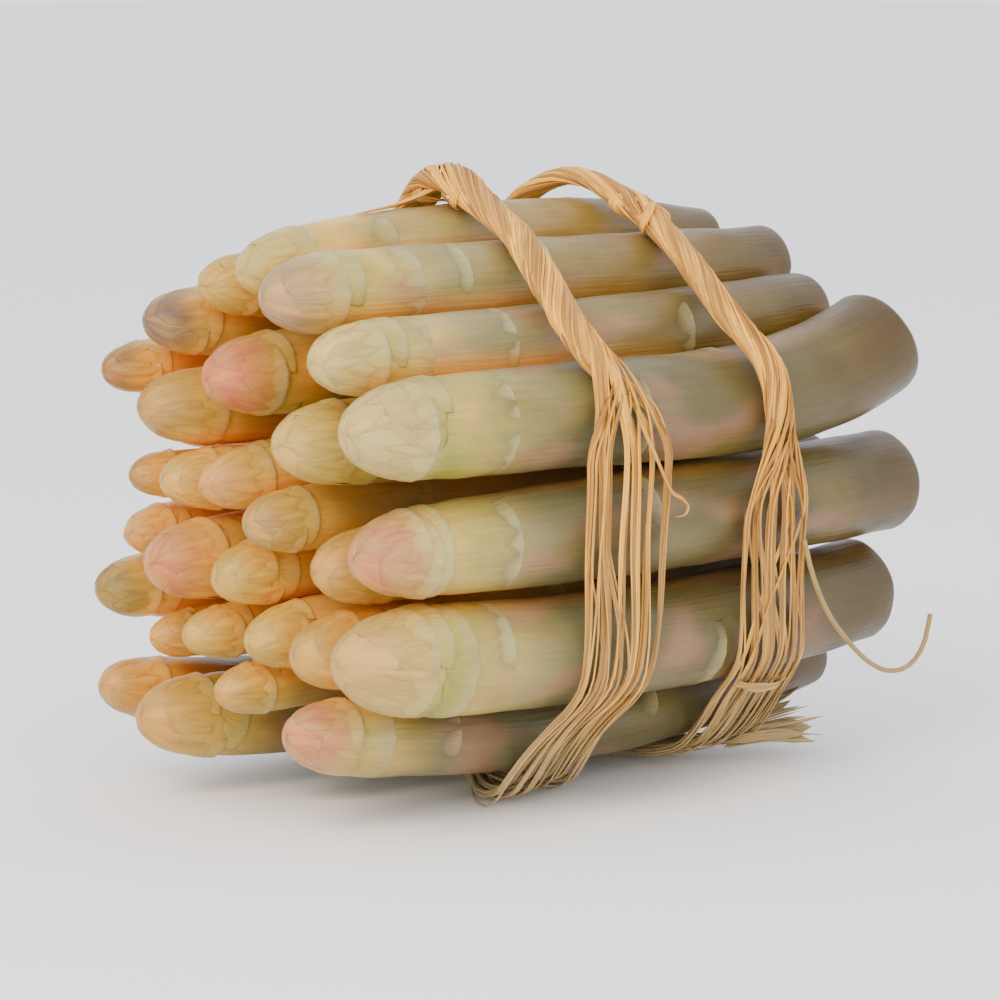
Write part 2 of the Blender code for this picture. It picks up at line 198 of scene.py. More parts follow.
floor_mesh = bmesh.new()
bmesh.ops.create_grid(floor_mesh, x_segments=1, y_segments=1, size=4.0)
floor_data = bpy.data.meshes.new("floor")
floor_mesh.to_mesh(floor_data)
floor_mesh.free()
floor = bpy.data.objects.new("floor", floor_data)
bpy.context.scene.collection.objects.link(floor)
print("three light sources and a floor")

# %% [markdown]
# ## Nodes in one helper
# Every finish below is a small network of shader nodes. One function adds a node, sets its
# options and values and links its inputs, so that each finish reads like a recipe. Inputs are
# found by name. Only a Mix node holds sockets for several kinds of data under the same names, so
# its three colour sockets are found by their places.

# %% Helper that adds one node
COLOUR_A = 6
COLOUR_B = 7
MIXED_COLOUR = 2


def add(tree, kind, values=None, links=None, **options):
    """Adds a node to the tree with its options, its input values and its input links"""
    node = tree.nodes.new(kind)
    for option, value in options.items():
        setattr(node, option, value)
    for name, value in (values or {}).items():
        node.inputs[name].default_value = value
    for name, source in (links or {}).items():
        tree.links.new(source, node.inputs[name])
    return node


def new_material(name):
    """Empty node material and its tree"""
    material = bpy.data.materials.new(name)
    material.use_nodes = True
    material.node_tree.nodes.clear()
    return material, material.node_tree


# %% Matte paint for the floor
floor_paint, tree = new_material("matte white paint")
shader = add(
    tree,
    "ShaderNodeBsdfPrincipled",
    {"Base Color": opaque("#f4f3f1"), "Roughness": 0.9},
)
add(tree, "ShaderNodeOutputMaterial", links={"Surface": shader.outputs["BSDF"]})
floor_data.materials.append(floor_paint)
print("finish:", floor_paint.name)

# %% [markdown]
# ## The skin of white asparagus
# White asparagus grows in the dark under a mound of soil, so its skin is pale, moist and a little
# see-through. Light that enters it comes out warm, which is why the gaps between the buds glow
# orange. Fine ribs run along it. The colours change along each spear, so they are painted on the
# mesh points as an attribute called tint, and the shader adds ribs, blotches and bumps. A second
# attribute, grain, holds the place round and along the spear in millimetres. The ribs follow it.

# %% Skin finish: ribs and soft blotches
RIB_WIDTH = 0.9
RIB_STRETCH = 0.045
BLOTCH_WIDTH = 9.0
BLOTCH_STRETCH = 0.5

skin, tree = new_material("asparagus skin, moist and ribbed")
tint = add(tree, "ShaderNodeAttribute", attribute_name="tint")
grain = add(tree, "ShaderNodeAttribute", attribute_name="grain")
rib_place = add(
    tree,
    "ShaderNodeMapping",
    {"Scale": (1.0 / RIB_WIDTH, 1.0 / RIB_WIDTH, RIB_STRETCH / RIB_WIDTH)},
    {"Vector": grain.outputs["Vector"]},
)
ribs = add(
    tree,
    "ShaderNodeTexNoise",
    {"Scale": 1.0, "Detail": 3.0, "Roughness": 0.55},
    {"Vector": rib_place.outputs["Vector"]},
)
blotch_place = add(
    tree,
    "ShaderNodeMapping",
    {"Scale": (1.0 / BLOTCH_WIDTH, 1.0 / BLOTCH_WIDTH, BLOTCH_STRETCH / BLOTCH_WIDTH)},
    {"Vector": grain.outputs["Vector"]},
)
blotches = add(
    tree,
    "ShaderNodeTexNoise",
    {"Scale": 1.0, "Detail": 4.0, "Roughness": 0.6},
    {"Vector": blotch_place.outputs["Vector"]},
)
rib_tone = add(
    tree,
    "ShaderNodeMapRange",
    {"From Min": 0.3, "From Max": 0.7, "To Min": 0.9, "To Max": 1.06},
    {"Value": ribs.outputs["Fac"]},
)
ribbed = add(
    tree,
    "ShaderNodeMix",
    {"Factor": 1.0},
    {COLOUR_A: tint.outputs["Color"], COLOUR_B: rib_tone.outputs["Result"]},
    data_type="RGBA",
    blend_type="MULTIPLY",
)
blotch_share = add(
    tree,
    "ShaderNodeMapRange",
    {"From Min": 0.45, "From Max": 0.75, "To Min": 0.0, "To Max": 0.5},
    {"Value": blotches.outputs["Fac"]},
)
blotched = add(
    tree,
    "ShaderNodeMix",
    {COLOUR_B: opaque("#d2b070")},
    {"Factor": blotch_share.outputs["Result"], COLOUR_A: ribbed.outputs[MIXED_COLOUR]},
    data_type="RGBA",
    blend_type="MULTIPLY",
)
print("ribs", RIB_WIDTH, "mm wide, blotches", BLOTCH_WIDTH, "mm wide")

# %% Skin finish: bumps, gloss and light under the surface
rib_bump = add(
    tree,
    "ShaderNodeBump",
    {"Strength": 0.8, "Distance": 0.3 * MM},
    {"Height": ribs.outputs["Fac"]},
)
blotch_bump = add(
    tree,
    "ShaderNodeBump",
    {"Strength": 0.4, "Distance": 0.8 * MM},
    {"Height": blotches.outputs["Fac"], "Normal": rib_bump.outputs["Normal"]},
)
gloss = add(
    tree,
    "ShaderNodeMapRange",
    {"From Min": 0.3, "From Max": 0.7, "To Min": 0.34, "To Max": 0.5},
    {"Value": blotches.outputs["Fac"]},
)
shader = add(
    tree,
    "ShaderNodeBsdfPrincipled",
    {
        "IOR": 1.4,
        "Coat Weight": 0.15,
        "Coat Roughness": 0.35,
        "Subsurface Weight": 0.3,
        "Subsurface Radius": (1.0, 0.5, 0.2),
        "Subsurface Scale": 3.0 * MM,
    },
    {
        "Base Color": blotched.outputs[MIXED_COLOUR],
        "Roughness": gloss.outputs["Result"],
        "Normal": blotch_bump.outputs["Normal"],
    },
)
add(tree, "ShaderNodeOutputMaterial", links={"Surface": shader.outputs["BSDF"]})
print("finish:", skin.name)

# %% [markdown]
# ## The cut end
# The knife leaves a flat, fibrous face. Bundles of fibre show as darker dots in paler flesh, and
# the rim dries first and turns brown. Dots come from a Voronoi pattern that reads the same grain
# attribute, which on the cut face holds the place across it in millimetres.

# %% Cut finish: fibre dots in dry flesh
DOT_SPACING = 1.6

cut_flesh, tree = new_material("cut asparagus flesh, drying")
tint = add(tree, "ShaderNodeAttribute", attribute_name="tint")
grain = add(tree, "ShaderNodeAttribute", attribute_name="grain")
dots = add(
    tree,
    "ShaderNodeTexVoronoi",
    {"Scale": 1.0 / DOT_SPACING, "Randomness": 0.8},
    {"Vector": grain.outputs["Vector"]},
)
dot_share = add(
    tree,
    "ShaderNodeMapRange",
    {"From Min": 0.12, "From Max": 0.3, "To Min": 0.75, "To Max": 0.0},
    {"Value": dots.outputs["Distance"]},
)
dotted = add(
    tree,
    "ShaderNodeMix",
    {COLOUR_B: opaque("#6f5326")},
    {"Factor": dot_share.outputs["Result"], COLOUR_A: tint.outputs["Color"]},
    data_type="RGBA",
)
fibre_bump = add(
    tree,
    "ShaderNodeBump",
    {"Strength": 0.5, "Distance": 0.3 * MM},
    {"Height": dots.outputs["Distance"]},
)
shader = add(
    tree,
    "ShaderNodeBsdfPrincipled",
    {"Roughness": 0.75, "Subsurface Weight": 0.15, "Subsurface Scale": 2.0 * MM},
    {"Base Color": dotted.outputs[MIXED_COLOUR], "Normal": fibre_bump.outputs["Normal"]},
)
add(tree, "ShaderNodeOutputMaterial", links={"Surface": shader.outputs["BSDF"]})
print("finish:", cut_flesh.name)

# %% [markdown]
# ## Raffia
# Raffia is the dried skin of palm leaves, torn into flat strips. It is straw coloured and dull
# with a faint silky sheen, and fine lines run along every strip. The strips carry the same two
# attributes, so their streaks follow each strip however it twists.

# %% Raffia finish: streaks along the strip
STREAK_WIDTH = 0.45
STREAK_STRETCH = 0.03

raffia, tree = new_material("dry raffia, torn palm leaf")
tint = add(tree, "ShaderNodeAttribute", attribute_name="tint")
grain = add(tree, "ShaderNodeAttribute", attribute_name="grain")
streak_place = add(
    tree,
    "ShaderNodeMapping",
    {"Scale": (1.0 / STREAK_WIDTH, 1.0 / STREAK_WIDTH, STREAK_STRETCH / STREAK_WIDTH)},
    {"Vector": grain.outputs["Vector"]},
)
streaks = add(
    tree,
    "ShaderNodeTexNoise",
    {"Scale": 1.0, "Detail": 3.0, "Roughness": 0.6},
    {"Vector": streak_place.outputs["Vector"]},
)
streak_tone = add(
    tree,
    "ShaderNodeMapRange",
    {"From Min": 0.3, "From Max": 0.7, "To Min": 0.5, "To Max": 1.3},
    {"Value": streaks.outputs["Fac"]},
)
streaked = add(
    tree,
    "ShaderNodeMix",
    {"Factor": 1.0},
    {COLOUR_A: tint.outputs["Color"], COLOUR_B: streak_tone.outputs["Result"]},
    data_type="RGBA",
    blend_type="MULTIPLY",
)
streak_bump = add(
    tree,
    "ShaderNodeBump",
    {"Strength": 0.6, "Distance": 0.2 * MM},
    {"Height": streaks.outputs["Fac"]},
)
shader = add(
    tree,
    "ShaderNodeBsdfPrincipled",
    {"Roughness": 0.75, "Sheen Weight": 0.06, "Subsurface Weight": 0.08, "Subsurface Scale": MM},
    {"Base Color": streaked.outputs[MIXED_COLOUR], "Normal": streak_bump.outputs["Normal"]},
)
add(tree, "ShaderNodeOutputMaterial", links={"Surface": shader.outputs["BSDF"]})
print("finish:", raffia.name)

# %% [markdown]
# ## A grid rolled into a form
# Spears, scale leaves and raffia strips all have the same make: a skin that runs along a line and
# closes round it. Each one starts as a flat grid from bmesh. Its points are moved onto the form,
# and the edges that meet are welded, which also closes the two ends.

# %% Helper that rolls a grid
WELD_DISTANCE = 0.004


def rolled_grid(mesh, along, around, place):
    """Adds a grid, moves each point to place(share along, share around) and welds what meets.

    place returns the position in metres, the tint and the grain of the point. The result tells how
    far along, from 0 to 1, each face lies.
    """
    tint_layer = mesh.verts.layers.float_color["tint"]
    grain_layer = mesh.verts.layers.float_vector["grain"]
    points = bmesh.ops.create_grid(mesh, x_segments=along, y_segments=around, size=1.0)["verts"]
    faces = {face for point in points for face in point.link_faces}
    rows = {face: 0.5 * (face.calc_center_median().x + 1.0) for face in faces}
    for point in points:
        position, tint_here, grain_here = place(0.5 * (point.co.x + 1.0), 0.5 * (point.co.y + 1.0))
        point.co = position
        point[tint_layer] = (*tint_here, 1.0)
        point[grain_layer] = grain_here
    for face in faces:
        face.smooth = True
    bmesh.ops.remove_doubles(mesh, verts=points, dist=WELD_DISTANCE * MM)
    return {face: row for face, row in rows.items() if face.is_valid}


def start_mesh():
    """Empty mesh with the two point attributes"""
    mesh = bmesh.new()
    mesh.verts.layers.float_color.new("tint")
    mesh.verts.layers.float_vector.new("grain")
    return mesh


def finish_piece(mesh, name, materials, slot, *nodes):
    """Turns the mesh into a piece that replaces the given nodes of the frame"""
    bmesh.ops.recalc_face_normals(mesh, faces=mesh.faces)
    data = bpy.data.meshes.new(name)
    mesh.to_mesh(data)
    mesh.free()
    for material in materials:
        data.materials.append(material)
    piece = bpy.data.objects.new(name, data)
    bpy.context.scene.collection.objects.link(piece)
    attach(piece, "root")
    if nodes:
        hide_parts(*nodes)
    return piece


print("rolled grids ready")

# %% [markdown]
# ## Where each spear runs
# The frame holds every spear as a simple solid. A merged copy of it is cut by a row of planes
# across X. The middle of each cut is a point of the spear's centre line, and the furthest point
# of the cut gives its thickness. A smooth line through these points carries the fine form. One
# low spear is made a little fuller and higher, so that no daylight shows between two rows.

# %% Helpers that cut a solid and find its cut face
MERGE_DISTANCE = 0.001
CUT_FACING = 0.85
CUT_DEPTH = 8.0


def merged_copy(name):
    """Merged copy of a node's mesh"""
    mesh = bmesh.new()
    mesh.from_mesh(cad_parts[name].data)
    bmesh.ops.remove_doubles(mesh, verts=mesh.verts, dist=MERGE_DISTANCE * MM)
    return mesh


def slice_points(name, x):
    """Points where the plane at x cuts the node's surface"""
    mesh = merged_copy(name)
    geometry = mesh.verts[:] + mesh.edges[:] + mesh.faces[:]
    cut = bmesh.ops.bisect_plane(mesh, geom=geometry, plane_co=(x, 0, 0), plane_no=(1, 0, 0))
    points = [item.co.copy() for item in cut["geom_cut"] if isinstance(item, bmesh.types.BMVert)]
    mesh.free()
    return np.array(points)


def cut_middle(name, highest_x):
    """Middle of the cut face, whose parts face along the spear"""
    mesh = merged_copy(name)
    faces = [face for face in mesh.faces if face.normal.x > CUT_FACING]
    faces = [face for face in faces if face.calc_center_median().x > highest_x - CUT_DEPTH * MM]
    areas = [face.calc_area() for face in faces]
    middles = [face.calc_center_median() for face in faces]
    total = sum((middle * area for middle, area in zip(middles, areas)), Vector())
    mesh.free()
    return np.array(total / sum(areas)) / MM


shown_end = cut_middle("spear_04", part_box("spear_04")[1].x)
print("cut face of spear_04 at", [round(float(value), 1) for value in shown_end], "mm")

# %% The line of one spear
# Distances along a spear are in millimetres from its tip
SLICE_STEP = 9.0
FIRST_SLICE = 4.0
LAST_SLICE_MARGIN = 6.0
SHAFT_START = 20.0
BUD_MEASURED_AT = 24.0
CURVE_DEGREE = 3
BENT_DEGREES = {"spear_04": 5}
BUD_LENGTH_IN_RADII = 2.1
BUD_BLUNTNESS = 2.2
FULLER = {"spear_10": 1.1}
RISE_OF_FULLER = 0.8
HALF_STEP = 0.5
SLOPE_STEP = 0.15
RADIUS_STEPS = 240


class SpearLine:
    """Centre line and thickness of one spear, in millimetres"""

    def __init__(self, name):
        low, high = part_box(name)
        self.name = name
        self.tip_x = low.x / MM
        end = cut_middle(name, high.x)
        self.length = end[0] - self.tip_x
        stations = np.arange(FIRST_SLICE, self.length - LAST_SLICE_MARGIN, SLICE_STEP)
        middles = []
        reaches = []
        for distance in stations:
            points = slice_points(name, low.x + distance * MM) / MM
            middle = 0.5 * (points.min(axis=0) + points.max(axis=0))
            middles.append(middle)
            reaches.append(np.linalg.norm(points - middle, axis=1).max())
        middles = np.array(middles + [end])
        along = np.append(stations, self.length)
        degree = BENT_DEGREES.get(name, CURVE_DEGREE)
        self.y_curve = np.polyfit(along, middles[:, 1], degree)
        self.z_curve = np.polyfit(along, middles[:, 2], degree)
        self.last_slice = stations[-1]
        on_shaft = stations > SHAFT_START
        self.shaft_curve = np.polyfit(stations[on_shaft], np.array(reaches)[on_shaft], CURVE_DEGREE)
        self.shaft_curve[-1] += FULLER.get(name, 0.0)
        self.z_curve[-1] += RISE_OF_FULLER * FULLER.get(name, 0.0)
        self.bud = float(np.polyval(self.shaft_curve, BUD_MEASURED_AT))
        self.remember()

    def centre(self, distance):
        """Point of the centre line at a distance from the tip"""
        y = float(np.polyval(self.y_curve, distance))
        z = float(np.polyval(self.z_curve, distance))
        return Vector((self.tip_x + distance, y, z))

    def axes(self, distance):
        """Directions forward along the spear, out to the near side and up"""
        before = self.centre(distance - HALF_STEP)
        after = self.centre(distance + HALF_STEP)
        forward = (after - before).normalized()
        side = Vector((0.0, -1.0, 0.0))
        side = (side - forward * side.dot(forward)).normalized()
        return forward, side, side.cross(forward)

    def remember(self):
        """Keeps every value that is asked for, and the radius at even places along the spear"""
        self.centre_at = functools.lru_cache(maxsize=None)(self.centre)
        self.axes_at = functools.lru_cache(maxsize=None)(self.axes)
        self.radius_at = functools.lru_cache(maxsize=None)(self.radius)
        self.slope_at = functools.lru_cache(maxsize=None)(self.slope)
        self.radius_places = np.linspace(0.0, self.length, RADIUS_STEPS)
        self.radius_values = np.array([self.radius(place) for place in self.radius_places])

    def slope(self, distance):
        """Rise of the radius along the spear"""
        before = max(distance - SLOPE_STEP, 0.0)
        after = distance + SLOPE_STEP
        return (self.radius(after) - self.radius(before)) / (after - before)

    def radius(self, distance):
        """Thickness from the centre line out: a blunt bud, then the measured shaft"""
        bud_length = BUD_LENGTH_IN_RADII * self.bud
        if distance >= bud_length:
            measured_at = min(max(distance, BUD_MEASURED_AT), self.last_slice)
            return float(np.polyval(self.shaft_curve, measured_at))
        inside = min(max(distance / bud_length, 0.0), 1.0)
        return self.bud * math.sqrt(max(1.0 - (1.0 - inside) ** BUD_BLUNTNESS, 0.0))


print("slices every", SLICE_STEP, "mm")

# %% Measure all spears
lines = {name: SpearLine(name) for name in SPEARS}
for name in ("spear_04", "spear_06"):
    line = lines[name]
    print(name, "length", round(line.length), "mm, bud radius", round(line.bud, 1), "mm")

# %% [markdown]
# ## Colours along a spear
# The bud is cream, with a blush of rose, mauve or brown where light reached it. Behind the bud
# the skin turns yellow-green, and further down it is beige, darkened by painted shade that is
# weaker on the inner spears, and it dries to tan at the cut.
# Every spear has its own blush, and each row below gives how strong it and the green are, and how
# far the spear is turned about its axis. The shafts on top get painted light that makes them
# lighter than the others, and the buds behind the near spears get a painted warm glow. Two soft
# patterns add rosy and olive patches. Each change of colour has a place where it begins and one
# where it ends, and goes softly between them.

# %% Palette
BUD_CREAM = linear("#c1a351")
SHAFT_BEIGE = linear("#6b6845")
FRESH_GREEN = linear("#82882f")
# Painted shade for the shafts further from the bud
SHAFT_PAINTED_SHADE = linear("#574d27")
ROSE_PATCH = linear("#9a6e54")
OLIVE_PATCH = linear("#7d6c2c")
DRIED_TAN = linear("#46350a")
SCALE_PALE = linear("#ac9f6e")
# Paler margin of a leaf's rim with a painted highlight
RIM_PALE_AND_HIGHLIGHT = linear("#c2b585")
RIM_BROWN = linear("#543916")
CUT_EDGE_TONE = linear("#62451e")
CUT_FACE_TONE = linear("#8c703d")
BLUSHES = {
    "cream": linear("#bfa66d"),
    "straw": linear("#b89546"),
    "peach": linear("#b67c43"),
    "rose": linear("#bd604c"),
    "mauve": linear("#976757"),
    "plum": linear("#5f404f"),
    "brown": linear("#855023"),
    "olive": linear("#7f6a2c"),
}
print(len(BLUSHES), "blushes")

# %% A finish for each spear
# Blush, strength of the blush and of the green, and turn about the axis in degrees
SPEAR_FINISH = {
    "spear_01": ("straw", 0.4, 0.3, 20),
    "spear_02": ("mauve", 0.75, 0.7, 100),
    "spear_03": ("cream", 0.5, 0.7, 215),
    "spear_04": ("cream", 0.6, 1.0, 330),
    "spear_05": ("rose", 0.75, 0.5, 60),
    "spear_06": ("peach", 0.4, 0.8, 150),
    "spear_07": ("rose", 0.8, 0.3, 275),
    "spear_08": ("olive", 1.0, 0.5, 10),
    "spear_09": ("brown", 1.0, 0.1, 120),
    "spear_10": ("peach", 0.8, 0.2, 200),
    "spear_11": ("brown", 0.8, 0.2, 300),
    "spear_12": ("peach", 0.8, 0.2, 45),
    "spear_13": ("peach", 0.6, 0.3, 90),
    "spear_14": ("brown", 0.6, 0.4, 180),
    "spear_15": ("plum", 1.0, 0.1, 250),
    "spear_16": ("peach", 0.9, 0.2, 340),
    "spear_17": ("rose", 0.8, 0.2, 25),
    "spear_18": ("straw", 0.7, 0.3, 80),
    "spear_19": ("straw", 0.6, 0.3, 140),
    "spear_20": ("rose", 0.5, 0.2, 220),
    "spear_21": ("rose", 1.0, 0.2, 290),
    "spear_22": ("straw", 0.8, 0.3, 350),
    "spear_23": ("straw", 0.5, 0.2, 70),
    "spear_24": ("peach", 0.6, 0.1, 160),
    "spear_25": ("mauve", 0.6, 0.2, 240),
    "spear_26": ("straw", 0.4, 0.2, 310),
    "spear_27": ("cream", 0.5, 0.5, 30),
    "spear_28": ("peach", 0.5, 0.2, 110),
    "spear_29": ("peach", 0.6, 0.3, 190),
    "spear_30": ("cream", 0.4, 0.2, 260),
    "spear_31": ("peach", 0.4, 0.2, 0),
    "spear_32": ("peach", 0.5, 0.2, 130),
}
# Painted light: how much lighter the shafts on top of the bundle are made, in red, green and blue
TOP_SHAFT_PAINTED_LIGHT = {
    "spear_01": np.array((2.5, 2.0, 1.3)),
    "spear_02": np.array((1.75, 1.5, 1.1)),
    "spear_03": np.array((1.5, 1.35, 1.2)),
}
NEAR_SPEARS = SPEARS[:7]
# Painted warm light on the buds behind the near spears
INNER_BUD_PAINTED_GLOW = np.array((1.04, 0.93, 0.62))
print(len(SPEAR_FINISH), "finishes")

# %% Colour of the skin at a point
# Where each colour fades in or out, in bud radii from the tip
CREAM_OUT = (1.4, 5.0)
GREEN_IN = (1.2, 1.8)
GREEN_OUT = (2.4, 4.2)
BLUSH_OUT = (0.4, 2.2)
INNER_GLOW_OUT = (2.0, 5.0)
SHAFT_IN = (2.0, 3.5)

# In millimetres, from the tip and then back from the cut end
PAINTED_SHADE_IN = (50.0, 100.0)
PAINTED_SHADE_SHARE_INSIDE = 0.4
DRY_FROM_END = 45.0
DRY_TO_END = 5.0
DRY_SHARE = 0.9

# Values of the soft pattern between which a patch begins, and how strong the patches are
PATCH_EDGE = (0.5, 0.9)
ROSE_SHARE = 0.55
OLIVE_SHARE = 0.45


def ease(low, high, value):
    """Smooth step from 0 at low to 1 at high"""
    share = min(max((value - low) / (high - low), 0.0), 1.0)
    return share * share * (3.0 - 2.0 * share)


def between(fade_in, fade_out, value):
    """1 between the two fades and 0 outside them"""
    return ease(*fade_in, value) * (1.0 - ease(*fade_out, value))


def mixed(colour, other, share):
    """The colour with a share of the other one in it"""
    return colour + (other - colour) * share


def patchy(distance, angle, seed, size):
    """Soft uneven value between about 0 and 1 on the skin of a spear"""
    place = Vector((math.cos(angle) * 9.0 + seed * 31.0, math.sin(angle) * 9.0, distance)) / size
    return min(max(0.5 + 0.8 * noise.noise(place), 0.0), 1.0)


def skin_tint(line, distance, angle):
    """Colour of the skin at a distance from the tip and an angle round the spear"""
    blush, blush_strength, green_strength, turn = SPEAR_FINISH[line.name]
    near = line.name in NEAR_SPEARS
    radii = distance / line.bud
    on_shaft = ease(*SHAFT_IN, radii)
    colour = mixed(SHAFT_BEIGE, BUD_CREAM, 1.0 - ease(*CREAM_OUT, radii))
    green = green_strength * between(GREEN_IN, GREEN_OUT, radii)
    colour = mixed(colour, FRESH_GREEN, green * patchy(distance, angle, turn, 9.0))
    blushed = blush_strength * (1.0 - ease(*BLUSH_OUT, radii))
    blushed *= 0.55 + 0.45 * patchy(distance, angle, turn + 7, 5.0)
    colour = mixed(colour, BLUSHES[blush], blushed)
    # Painted shade: the shaft darkens from 50 to 100 mm behind the tip, less on the inner spears
    colour = mixed(colour, SHAFT_PAINTED_SHADE, ease(*PAINTED_SHADE_IN, distance) * (1.0 if near else PAINTED_SHADE_SHARE_INSIDE))
    # Painted light on the shafts on top of the bundle
    colour = colour * mixed(1.0, TOP_SHAFT_PAINTED_LIGHT.get(line.name, 1.0), on_shaft)
    # Painted warm light: the buds behind the near spears are tinted orange
    if not near:
        colour = colour * mixed(1.0, INNER_BUD_PAINTED_GLOW, 1.0 - ease(*INNER_GLOW_OUT, radii))
    rosy = ease(*PATCH_EDGE, patchy(distance * 0.4, angle, turn + 11, 8.0))
    colour = mixed(colour, ROSE_PATCH, ROSE_SHARE * rosy * on_shaft)
    olive = ease(*PATCH_EDGE, patchy(distance * 0.3, angle, turn + 29, 9.0))
    colour = mixed(colour, OLIVE_PATCH, OLIVE_SHARE * olive * on_shaft)
    dried = DRY_SHARE * ease(line.length - DRY_FROM_END, line.length - DRY_TO_END, distance)
    return mixed(colour, DRIED_TAN, dried)


print("near side of spear_04 at 80 mm:", skin_tint(lines["spear_04"], 80.0, 0.0).round(2))

# %% [markdown]
# ## The shaft and the bud under the scales
# The body of a spear is one rolled grid: a blunt dome, a long shaft that is never quite round,
# and a hollowed cut face with a rounded rim. It stays a little below the frame's solid along the
# bud, because the scale leaves lie on top there, and it has a slight neck where the bud ends.

# %% Helper for a point on a spear, and its body
AROUND = 60
DOME_ROWS = 20
SHAFT_ROW_STEP = 2.4
BUD_SINK = 0.015
NECK_DEPTH = 0.045
NECK_AT = 1.95
NECK_WIDTH = 0.45
UNEVENNESS = 0.5
FLUTES = 11.0
FLUTE_DEPTH = 0.18
SHAFT_END = 1.4

# The rounded rim: how far before the end in millimetres, share of the radius, and whether it is cut
RIM_ROWS = ((0.7, 0.985, False), (0.25, 0.96, False), (0.05, 0.92, True), (0.1, 0.86, True))
FACE_SHARES = (0.72, 0.5, 0.25, 0.0)
FACE_DEPTH = 0.25
FACE_HOLLOW = 0.3
PALE_FACE_SHARE = 0.8


def on_spear(line, distance, angle, lift):
    """Point of the surface, raised by lift along the surface's own outward direction"""
    forward, side, up = line.axes_at(distance)
    outward = side * math.cos(angle) + up * math.sin(angle)
    slope = line.slope_at(distance)
    steep = math.sqrt(1.0 + slope * slope)
    reach = line.radius_at(distance) + lift / steep
    return (line.centre_at(distance) + outward * reach - forward * (lift * slope / steep)) * MM


def body_rows(line):
    """Rows of the body: distance from the tip, share of the radius, and whether it is cut"""
    rows = []
    dome = BUD_LENGTH_IN_RADII * line.bud
    for step in range(DOME_ROWS):
        rows.append((dome * (1.0 - math.cos(0.5 * math.pi * step / DOME_ROWS)), 1.0, False))
    count = int((line.length - SHAFT_END - dome) / SHAFT_ROW_STEP)
    for distance in np.linspace(dome, line.length - SHAFT_END, count):
        rows.append((float(distance), 1.0, False))
    for before_end, share, cut in RIM_ROWS:
        rows.append((line.length - before_end, share, cut))
    for share in FACE_SHARES:
        rows.append((line.length - FACE_DEPTH - FACE_HOLLOW * (1.0 - share), share, True))
    return rows


def add_body(mesh, line):
    """Body of one spear from its tip to its cut face, which gets the second material"""
    rows = body_rows(line)
    turn = math.radians(SPEAR_FINISH[line.name][3])

    def place(along, around):
        distance, share, cut = rows[round(along * (len(rows) - 1))]
        angle = 2.0 * math.pi * around
        radii = distance / line.bud
        sink = BUD_SINK * line.bud * between((0.0, 0.5), (1.4, 2.0), radii)
        sink += NECK_DEPTH * line.bud * math.exp(-(((radii - NECK_AT) / NECK_WIDTH) ** 2))
        rough = patchy(distance * 0.4, angle, turn, 5.0) - 0.5
        lift = UNEVENNESS * rough * ease(2.0, 3.0, radii) - sink
        flutes = math.sin(FLUTES * angle + turn + 2.0 * noise.noise(Vector((angle, radii, turn))))
        lift += FLUTE_DEPTH * flutes * between((0.1, 0.5), (1.6, 2.4), radii)
        lift -= (1.0 - share) * line.radius_at(distance)
        tint_here = skin_tint(line, distance, angle)
        if share < 1.0:
            tint_here = mixed(tint_here, RIM_BROWN, 0.5)
        if cut:
            tint_here = CUT_FACE_TONE if share < PALE_FACE_SHARE else CUT_EDGE_TONE
        radius = line.bud * share
        grain_here = (radius * math.cos(angle), radius * math.sin(angle), distance + turn * 40.0)
        return on_spear(line, distance, angle, lift), tint_here, grain_here

    face_rows = rolled_grid(mesh, len(rows) - 1, AROUND, place)
    first_cut = [row[2] for row in rows].index(True) / (len(rows) - 1)
    for face, row in face_rows.items():
        face.material_index = 1 if row > first_cut else 0


print("bodies have", AROUND, "points around")

# %% [markdown]
# ## Scale leaves
# Thin scale leaves sit in a spiral, two fifths of a turn apart. Those of the bud are closed
# tightly into a smooth dome. Behind the dome a few collar scales follow, and on the shaft there
# are single bracts. Each of these has its round tip pressed flat and its foot standing up as a
# curved rim, with a paler margin and a painted highlight. Every leaf is a flattened pod: a grid
# rolled round its outline, which follows the skin of the spear and dips into it where it ends.
# The two forms below give in millimetres how high the tip, the foot and the sides of a leaf lie
# and how thick it is, and as shares how pale it is, how strong its rim's paler margin and painted
# highlight are, and how much of that rim runs up along its sides.

# %% One scale leaf
LEAF_ROWS = 16
LEAF_AROUND = 28
ROWS_TOWARDS_TIP = 1.6
WIDEST_AT = 0.8
FOOT_CURVE = 0.12
LEAF_WAVE = 0.05
LEAF_END_LIFT = -0.8
DOME_FORM = {
    "rise": 0.05, "foot_rise": -0.25, "side_sink": 0.2, "thick": 0.1,
    "pale": 0.0, "rim": 0.0, "outline": 0.3,
}
BRACT_FORM = {
    "rise": -0.35, "foot_rise": 0.25, "side_sink": 0.4, "thick": 0.18,
    "pale": 0.6, "rim": 0.75, "outline": 0.0,
}


